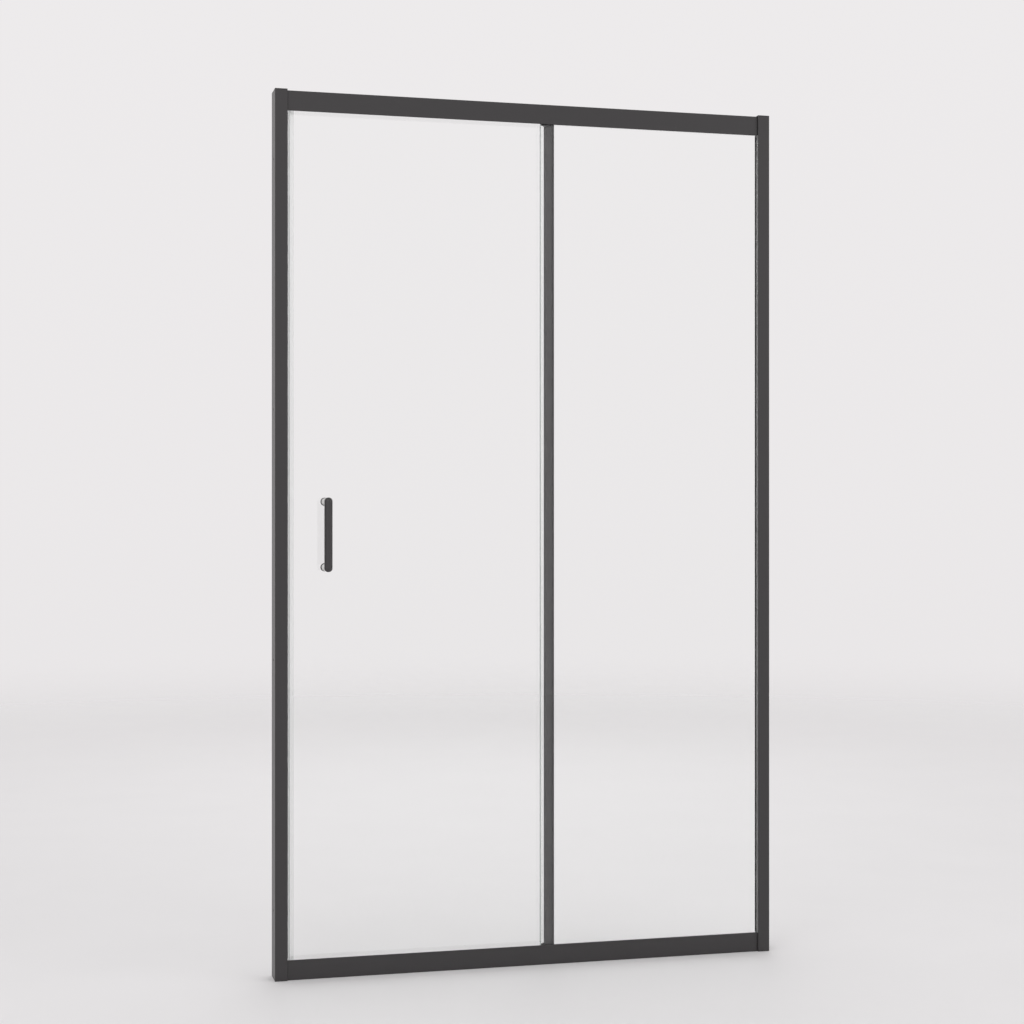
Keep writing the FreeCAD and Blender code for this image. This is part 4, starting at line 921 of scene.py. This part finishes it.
low, high = in_mm("stile_brush")
pile_root = high.y - backing_thickness
backing = strip("backing", [[
    (low.x, pile_root, 0.2), (high.x, pile_root, 0.2), (high.x, high.y, 0.2), (low.x, high.y, 0.2)]],
    (0, 0, low.z * mm), (high.z - low.z) * mm, upright, brush_fibre)
row_starts = bpy.data.meshes.new("row_starts")
middle_x = (low.x + high.x) / 2
row_starts.from_pydata([((middle_x + offset) * mm, pile_root * mm, (low.z + tuft_spacing / 2) * mm)
                        for offset in row_offsets], [], [])
pile = grown("pile", row_starts, pile_tree, Tufts_in_a_row=int((high.z - low.z) / tuft_spacing),
             Spacing=tuft_spacing * mm, Pile_height=(pile_root - low.y) * mm, Tuft_radius=tuft_radius * mm,
             Lean=0.06, Turn=(math.pi / 2, 0.0, 0.0), Finish=brush_fibre)
stand_for(merged("stile_brush_pile", [backing, pile], brush_fibre), "stile_brush")

# %% [markdown]
# ## Turned pieces
# Wheels, pins, discs, bushes, screws and the handle's bar are all turned around an axis. A small function
# turns an outline of heights and radii around Z. A soft corner of the outline becomes a quarter of an
# ellipse, and a ring may also be a hexagon or a cross, which makes the recess in a screw's head. The
# finished mesh is then copied by a tree to every place that its node has, with its top turned the right
# way.

# %% Helpers for turned pieces
cross_arm_half = math.radians(16)
cross_root_share = 0.42


def softened(corners, steps=5):
    """An outline with its soft corners rounded. Each corner is (height, radius, softness) in mm."""
    smooth = []
    for i, (height, radius, softness) in enumerate(corners):
        here = Vector((height, radius))
        if softness == 0:
            smooth.append((height, radius))
            continue
        before = here + softness * (Vector(corners[i - 1][:2]) - here).normalized()
        after = here + softness * (Vector(corners[(i + 1) % len(corners)][:2]) - here).normalized()
        middle = before + after - here
        for step in range(steps + 1):
            angle = math.pi / 2 * step / steps
            point = middle + math.cos(angle) * (before - middle) + math.sin(angle) * (after - middle)
            smooth.append(tuple(point))
    return smooth


def ring_reach(shape, angle):
    """How far a ring reaches at an angle, as a share of its radius."""
    if shape == "hexagon":
        return math.cos(math.pi / 6) / math.cos(angle % (math.pi / 3) - math.pi / 6)
    if shape == "cross":
        from_arm = abs((angle + math.pi / 4) % (math.pi / 2) - math.pi / 4)
        return 1.0 if from_arm < cross_arm_half else cross_root_share
    return 1.0


def turned_mesh(name, outline, steps=48, closed=False):
    """A mesh turned around Z from (height, radius) or (height, radius, shape of the ring)."""
    work = bmesh.new()
    angles = [2 * math.pi * i / steps for i in range(steps)]
    rings = []
    for height, radius, *shape in outline:
        if radius == 0:
            rings.append([work.verts.new((0, 0, height * mm))] * steps)
            continue
        reaches = [radius * mm * ring_reach(shape[0] if shape else "round", angle) for angle in angles]
        rings.append([work.verts.new((reach * math.cos(angle), reach * math.sin(angle), height * mm))
                      for reach, angle in zip(reaches, angles)])
    pairs = list(zip(rings, rings[1:] + rings[:1] if closed else rings[1:]))
    for lower, upper in pairs:
        for i in range(steps):
            j = (i + 1) % steps
            corners = list(dict.fromkeys([lower[i], lower[j], upper[j], upper[i]]))
            work.faces.new(corners)
    bmesh.ops.recalc_face_normals(work, faces=work.faces)
    mesh = bpy.data.meshes.new(name)
    work.to_mesh(mesh)
    work.free()
    return mesh


def driver_recess(shape, mouth, mouth_radius, floor, floor_radius, dip=0.0):
    """The rings of a screw's recess: its mouth, its floor, and the middle of the floor a dip deeper."""
    return [(mouth, mouth_radius, shape), (floor, floor_radius, shape), (floor - dip, 0)]


# %% Tree: copies at places
copies_tree, given, made = new_group(
    "copies_at_places", "GeometryNodeTree",
    [("Places", "NodeSocketGeometry", None), ("Pattern piece", "NodeSocketObject", None),
     ("Finish", "NodeSocketMaterial", None)],
    [("Copies", "NodeSocketGeometry")])
pattern = add_node(copies_tree, "GeometryNodeObjectInfo", {
    "Object": given["Pattern piece"], "As Instance": True})
facing = add_node(copies_tree, "GeometryNodeInputNamedAttribute", {"Name": "turn"},
                  data_type="FLOAT_VECTOR")
copies = add_node(copies_tree, "GeometryNodeInstanceOnPoints", {
    "Points": given["Places"], "Instance": pattern.outputs["Geometry"],
    "Rotation": facing.outputs["Attribute"]})
end_tree(copies_tree, copies.outputs["Instances"], given["Finish"], made)

# %% Helpers for copies
facing_front = (math.pi / 2, 0.0, 0.0)
facing_rear = (-math.pi / 2, 0.0, 0.0)
facing_left = (0.0, -math.pi / 2, 0.0)
facing_right = (0.0, math.pi / 2, 0.0)
facing_up = (0.0, 0.0, 0.0)


def copies_of(name, mesh, places, node):
    """Copies of a turned mesh that stand for a node. Each place is (point, way the top faces)."""
    base = bpy.data.meshes.new(name + "_places")
    base.from_pydata([tuple(point) for point, way in places], [], [])
    turn = base.attributes.new("turn", "FLOAT_VECTOR", "POINT")
    for i, (point, way) in enumerate(places):
        turn.data[i].vector = way
    pattern_piece = linked(name + "_pattern", mesh)
    piece = grown(name, base, copies_tree, Pattern_piece=pattern_piece,
                  Finish=finish_of_slot[slot_of[node]])
    bpy.data.objects.remove(pattern_piece)
    stand_for(shaded(piece), node)


def middle_of(low, high, x=None, y=None, z=None):
    """The middle of a box, with some of its values given instead."""
    middle = (low + high) / 2
    return Vector([given if given is not None else own for given, own in zip((x, y, z), middle)])


def fronts_of(node, way, inset=0.0):
    """The middle of the front face of each solid of a node, or a place that far behind it."""
    return [(middle_of(low, high, y=low.y + inset), way) for low, high in separate_solids(node)]


# %% Bar of the handle
bar_end_softness = 8.2
low, high = in_mm("handle_bar")
bar_radius = (high.x - low.x) / 2
bar_length = high.z - low.z
bar_outline = [(0, 0, 0), (0, bar_radius, bar_end_softness), (bar_length, bar_radius, bar_end_softness),
               (bar_length, 0, 0)]
low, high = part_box("handle_bar")
copies_of("handle_bar_turned", turned_mesh("bar", softened(bar_outline, steps=14), steps=64),
          [(middle_of(low, high, z=low.z), facing_up)], "handle_bar")

# %% Washers, sleeves, discs and screws of the handle
bore = 3.05
washer_radius = 8.3
sleeve_radius = 5.95
disc_radius = 9
head_height = 3
washer = turned_mesh("washer", softened([
    (0, bore, 0.1), (0, washer_radius, 0.3), (1, washer_radius, 0.3), (1, bore, 0.1)]), closed=True)
copies_of("handle_washers_turned", washer, fronts_of("handle_washers", facing_rear), "handle_washers")
sleeve = turned_mesh("sleeve", softened([
    (0, bore, 0.3), (0, sleeve_radius, 0.4), (6, sleeve_radius, 0.4), (6, bore, 0.3)]), closed=True)
copies_of("handle_bushes_turned", sleeve, fronts_of("handle_bushes", facing_rear), "handle_bushes")
disc = turned_mesh("disc", softened([
    (0, bore, 0.1), (0, disc_radius, 0.2), (3, disc_radius, 0.6), (3, bore, 0.1)]), closed=True)
copies_of("handle_discs_turned", disc, fronts_of("handle_inner_discs", facing_rear), "handle_inner_discs")
round_head_screw = turned_mesh("round_head_screw", softened([
    (-29, 0, 0), (-29, 3, 0.6), (0, 3, 0.1), (0, 5.5, 0.2), (head_height, 5.5, 1.6)])
    + driver_recess("hexagon", head_height, 2.2, 1.2, 2.1))
under_heads = [(middle_of(low, high, y=high.y - head_height * mm), facing_rear)
               for low, high in separate_solids("handle_screws")]
copies_of("handle_screws_turned", round_head_screw, under_heads, "handle_screws")

# %% Clamp fixings through the door's glass
screw_clearance = 2.55
clamp_disc = turned_mesh("clamp_disc", softened([
    (0, 5.05, 0.15), (0, 8, 0.6), (-3, 8, 0.2), (-3, screw_clearance, 0.1), (-2.5, screw_clearance, 0)]),
    closed=True)
copies_of("clamp_discs_turned", clamp_disc, fronts_of("clamp_discs", facing_front), "clamp_discs")
clamp_screw = turned_mesh("clamp_screw", softened([
    (-13.4, 0, 0), (-13.4, 2.5, 0.4), (-2.5, 2.5, 0.1), (0, 5, 0.15)])
    + driver_recess("hexagon", 0, 1.6, -1.6, 1.5))
copies_of("clamp_screws_turned", clamp_screw, fronts_of("clamp_screws", facing_front), "clamp_screws")
bush = turned_mesh("bush", softened([
    (0, screw_clearance, 0.1), (0, 7.5, 0.25), (-0.8, 7.5, 0.15), (-0.8, 4.95, 0.1), (-3.75, 4.95, 0.2),
    (-3.75, screw_clearance, 0.1)]), closed=True)
bush_places = []
for low, high in separate_solids("glass_bushes"):
    in_front = low.y + high.y < 0
    bush_places.append((middle_of(low, high, y=low.y if in_front else high.y),
                        facing_front if in_front else facing_rear))
copies_of("glass_bushes_turned", bush, bush_places, "glass_bushes")

# %% Screws with a low round head
pan_radius = 3.5
pan_height = 2.2
profile_shank = 9


def pan_head_screw(shank_length, shank_radius):
    """A screw with a low round head and a cross recess. The underside of the head is at height 0."""
    body = [(-shank_length, 0, 0), (-shank_length, shank_radius, 0.5), (0, shank_radius, 0.1),
            (0, pan_radius, 0.2), (pan_height, pan_radius, 1.1)]
    recess = driver_recess("cross", pan_height, 1.9, 0.9, 1.4, dip=0.1)
    return turned_mesh("pan_head_screw", softened(body) + recess)


copies_of("profile_screws_turned", pan_head_screw(profile_shank, 1.75),
          fronts_of("profile_screws", facing_rear, inset=profile_shank * mm), "profile_screws")

# %% Screw caps and sunk screws of the frame
screw_cap = turned_mesh("screw_cap", softened([
    (2.4, 0, 0), (2.4, 4.2, 0.2), (0, 4.2, 0.1), (0, 5, 0.25), (3.2, 5, 1.4), (3.2, 0, 0)]))
copies_of("profile_caps_turned", screw_cap, fronts_of("profile_screw_caps", facing_rear),
          "profile_screw_caps")
sunk_screw = turned_mesh("sunk_screw", softened([
    (-20, 0, 0), (-20, 1.95, 0.6), (-2, 1.95, 0.1), (0, 3.8, 0.12)])
    + driver_recess("cross", 0, 2.1, -1.2, 1.6, dip=0.1))
end_screw_places = []
for low, high in separate_solids("rail_end_screws"):
    at_left = low.x < 0
    end_screw_places.append((middle_of(low, high, x=low.x if at_left else high.x),
                             facing_left if at_left else facing_right))
copies_of("rail_end_screws_turned", sunk_screw, end_screw_places, "rail_end_screws")

# %% Screws of the track stops
low, high = in_mm("track_stop_screws")
under_heads = [(middle_of(low, high, z=high.z - pan_height * mm), facing_up)
               for low, high in separate_solids("track_stop_screws")]
stop_shank = high.z - low.z - pan_height
copies_of("track_stop_screws_turned", pan_head_screw(stop_shank, 2), under_heads, "track_stop_screws")

# %% [markdown]
# ## Running gear
# Four nylon wheels hang the door from the round bead in the head rail, and two smaller ones run on the fin
# in the sill. Each wheel's groove is a half circle a little wider than its bead, and its faces are hollowed
# between hub and rim, as moulded wheels are. The pins are turned steel with a shoulder and a riveted head.

# %% Wheels
wheel_half_width = 3.2
groove_half = 1.5
hub_radius = 4.6
rim_thickness = 1.6
recess_depth = 1.0


def wheel(node, rim, groove, bore):
    """A grooved wheel in the place of a node. Its section is closed around the axle."""
    recess = wheel_half_width - recess_depth
    rim_inside = groove - rim_thickness
    half = [(groove_half, groove, groove_half), (groove_half, rim, 0.3), (wheel_half_width, rim, 0.5),
            (wheel_half_width, rim_inside, 0.15), (recess, rim_inside, 0.3), (recess, hub_radius, 0.3),
            (wheel_half_width, hub_radius, 0.2), (wheel_half_width, bore, 0.15)]
    section = half + [(-height, radius, softness) for height, radius, softness in reversed(half)]
    low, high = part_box(node)
    copies_of(node + "_turned", turned_mesh("wheel", softened(section), steps=64, closed=True),
              [(middle_of(low, high), facing_rear)], node)


for number in range(1, 5):
    wheel("top_wheel_%d" % number, rim=11.0, groove=9.0, bore=2.55)
for side in ("left", "right"):
    wheel("guide_wheel_" + side, rim=9.0, groove=7.5, bore=2.05)

# %% Axles
shouldered_pin = turned_mesh("shouldered_pin", softened([
    (0, 0, 0), (0, 2.5, 0.3), (3, 2.5, 0.1), (3, 3.8, 0.15), (3.7, 3.8, 0.15), (3.7, 2.5, 0.1),
    (10.7, 2.5, 0.1), (10.7, 3.6, 0.2), (11.7, 3.6, 0.6), (11.7, 0, 0)]))
copies_of("hanger_axles_turned", shouldered_pin, fronts_of("hanger_axles", facing_rear), "hanger_axles")
headed_pin = turned_mesh("headed_pin", softened([
    (0, 0, 0), (0, 2, 0.3), (8.1, 2, 0.1), (8.1, 3.5, 0.15), (9.1, 3.5, 0.25), (9.1, 0, 0)]))
for side in ("left", "right"):
    node = "guide_axle_" + side
    copies_of(node + "_turned", headed_pin, fronts_of(node, facing_rear), node)

# %% [markdown]
# ## Springs
# Each guide wheel is pressed onto the fin by two small springs, and gives way when its tab is lifted.
# A compression spring's end coils lie flat, so the wire climbs slowly at both ends and fast in the middle:
# the tree adds up three ramps for the height.

# %% Tree: coil spring
steps_along_wire = 161
end_coils_share = 0.17

spring_tree, given, made = new_group(
    "coil_spring", "GeometryNodeTree",
    [("Places", "NodeSocketGeometry", None), ("Height", "NodeSocketFloat", 0.011),
     ("Coil radius", "NodeSocketFloat", 0.0023), ("Wire radius", "NodeSocketFloat", 0.00035),
     ("Turns", "NodeSocketFloat", 6.0), ("Finish", "NodeSocketMaterial", None)],
    [("Springs", "NodeSocketGeometry")])
thread = add_node(spring_tree, "GeometryNodeCurvePrimitiveLine")
points = add_node(spring_tree, "GeometryNodeResampleCurve", {
    "Curve": thread.outputs["Curve"], "Count": steps_along_wire})
along = add_node(spring_tree, "GeometryNodeSplineParameter").outputs["Factor"]
turns_done = calculated(spring_tree, "MULTIPLY", along, given["Turns"])
angle = calculated(spring_tree, "MULTIPLY", turns_done, 2 * math.pi)
cosine = calculated(spring_tree, "COSINE", angle)
sine = calculated(spring_tree, "SINE", angle)
wire_width = calculated(spring_tree, "MULTIPLY", given["Wire radius"], 2.0)
both_ends = calculated(spring_tree, "MULTIPLY", given["Wire radius"], 4.0)
free_height = calculated(spring_tree, "SUBTRACT", given["Height"], both_ends)
first_coil = remapped(spring_tree, along, (0.0, end_coils_share), (0.0, wire_width))
open_coils = remapped(spring_tree, along, (end_coils_share, 1 - end_coils_share), (0.0, free_height))
last_coil = remapped(spring_tree, along, (1 - end_coils_share, 1.0), (0.0, wire_width))
first_two = calculated(spring_tree, "ADD", first_coil, open_coils)
place = add_node(spring_tree, "ShaderNodeCombineXYZ", {
    "X": calculated(spring_tree, "MULTIPLY", cosine, given["Coil radius"]),
    "Y": calculated(spring_tree, "MULTIPLY", sine, given["Coil radius"]),
    "Z": calculated(spring_tree, "ADD", first_two, last_coil)})
wound = add_node(spring_tree, "GeometryNodeSetPosition", {
    "Geometry": points.outputs["Curve"], "Position": place.outputs["Vector"]})
section = add_node(spring_tree, "GeometryNodeCurvePrimitiveCircle", {
    "Resolution": 10, "Radius": given["Wire radius"]})
wire = add_node(spring_tree, "GeometryNodeCurveToMesh", {
    "Curve": wound.outputs["Geometry"], "Profile Curve": section.outputs["Curve"], "Fill Caps": True})
springs = add_node(spring_tree, "GeometryNodeInstanceOnPoints", {
    "Points": given["Places"], "Instance": wire.outputs["Mesh"]})
end_tree(spring_tree, springs.outputs["Instances"], given["Finish"], made)

# %% Springs of the guides
wire_radius = 0.35 * mm
for side in ("left", "right"):
    node = "guide_springs_" + side
    boxes = separate_solids(node)
    low, high = boxes[0]
    places = bpy.data.meshes.new("spring_places")
    feet = [tuple(middle_of(*corners, z=corners[0].z + wire_radius)) for corners in boxes]
    places.from_pydata(feet, [], [])
    piece = grown(node + "_wound", places, spring_tree, Height=high.z - low.z - 2 * wire_radius,
                  Coil_radius=(high.x - low.x) / 2 - wire_radius, Wire_radius=wire_radius,
                  Finish=finish_of_slot[slot_of[node]])
    stand_for(shaded(piece), node)
    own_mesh(piece)
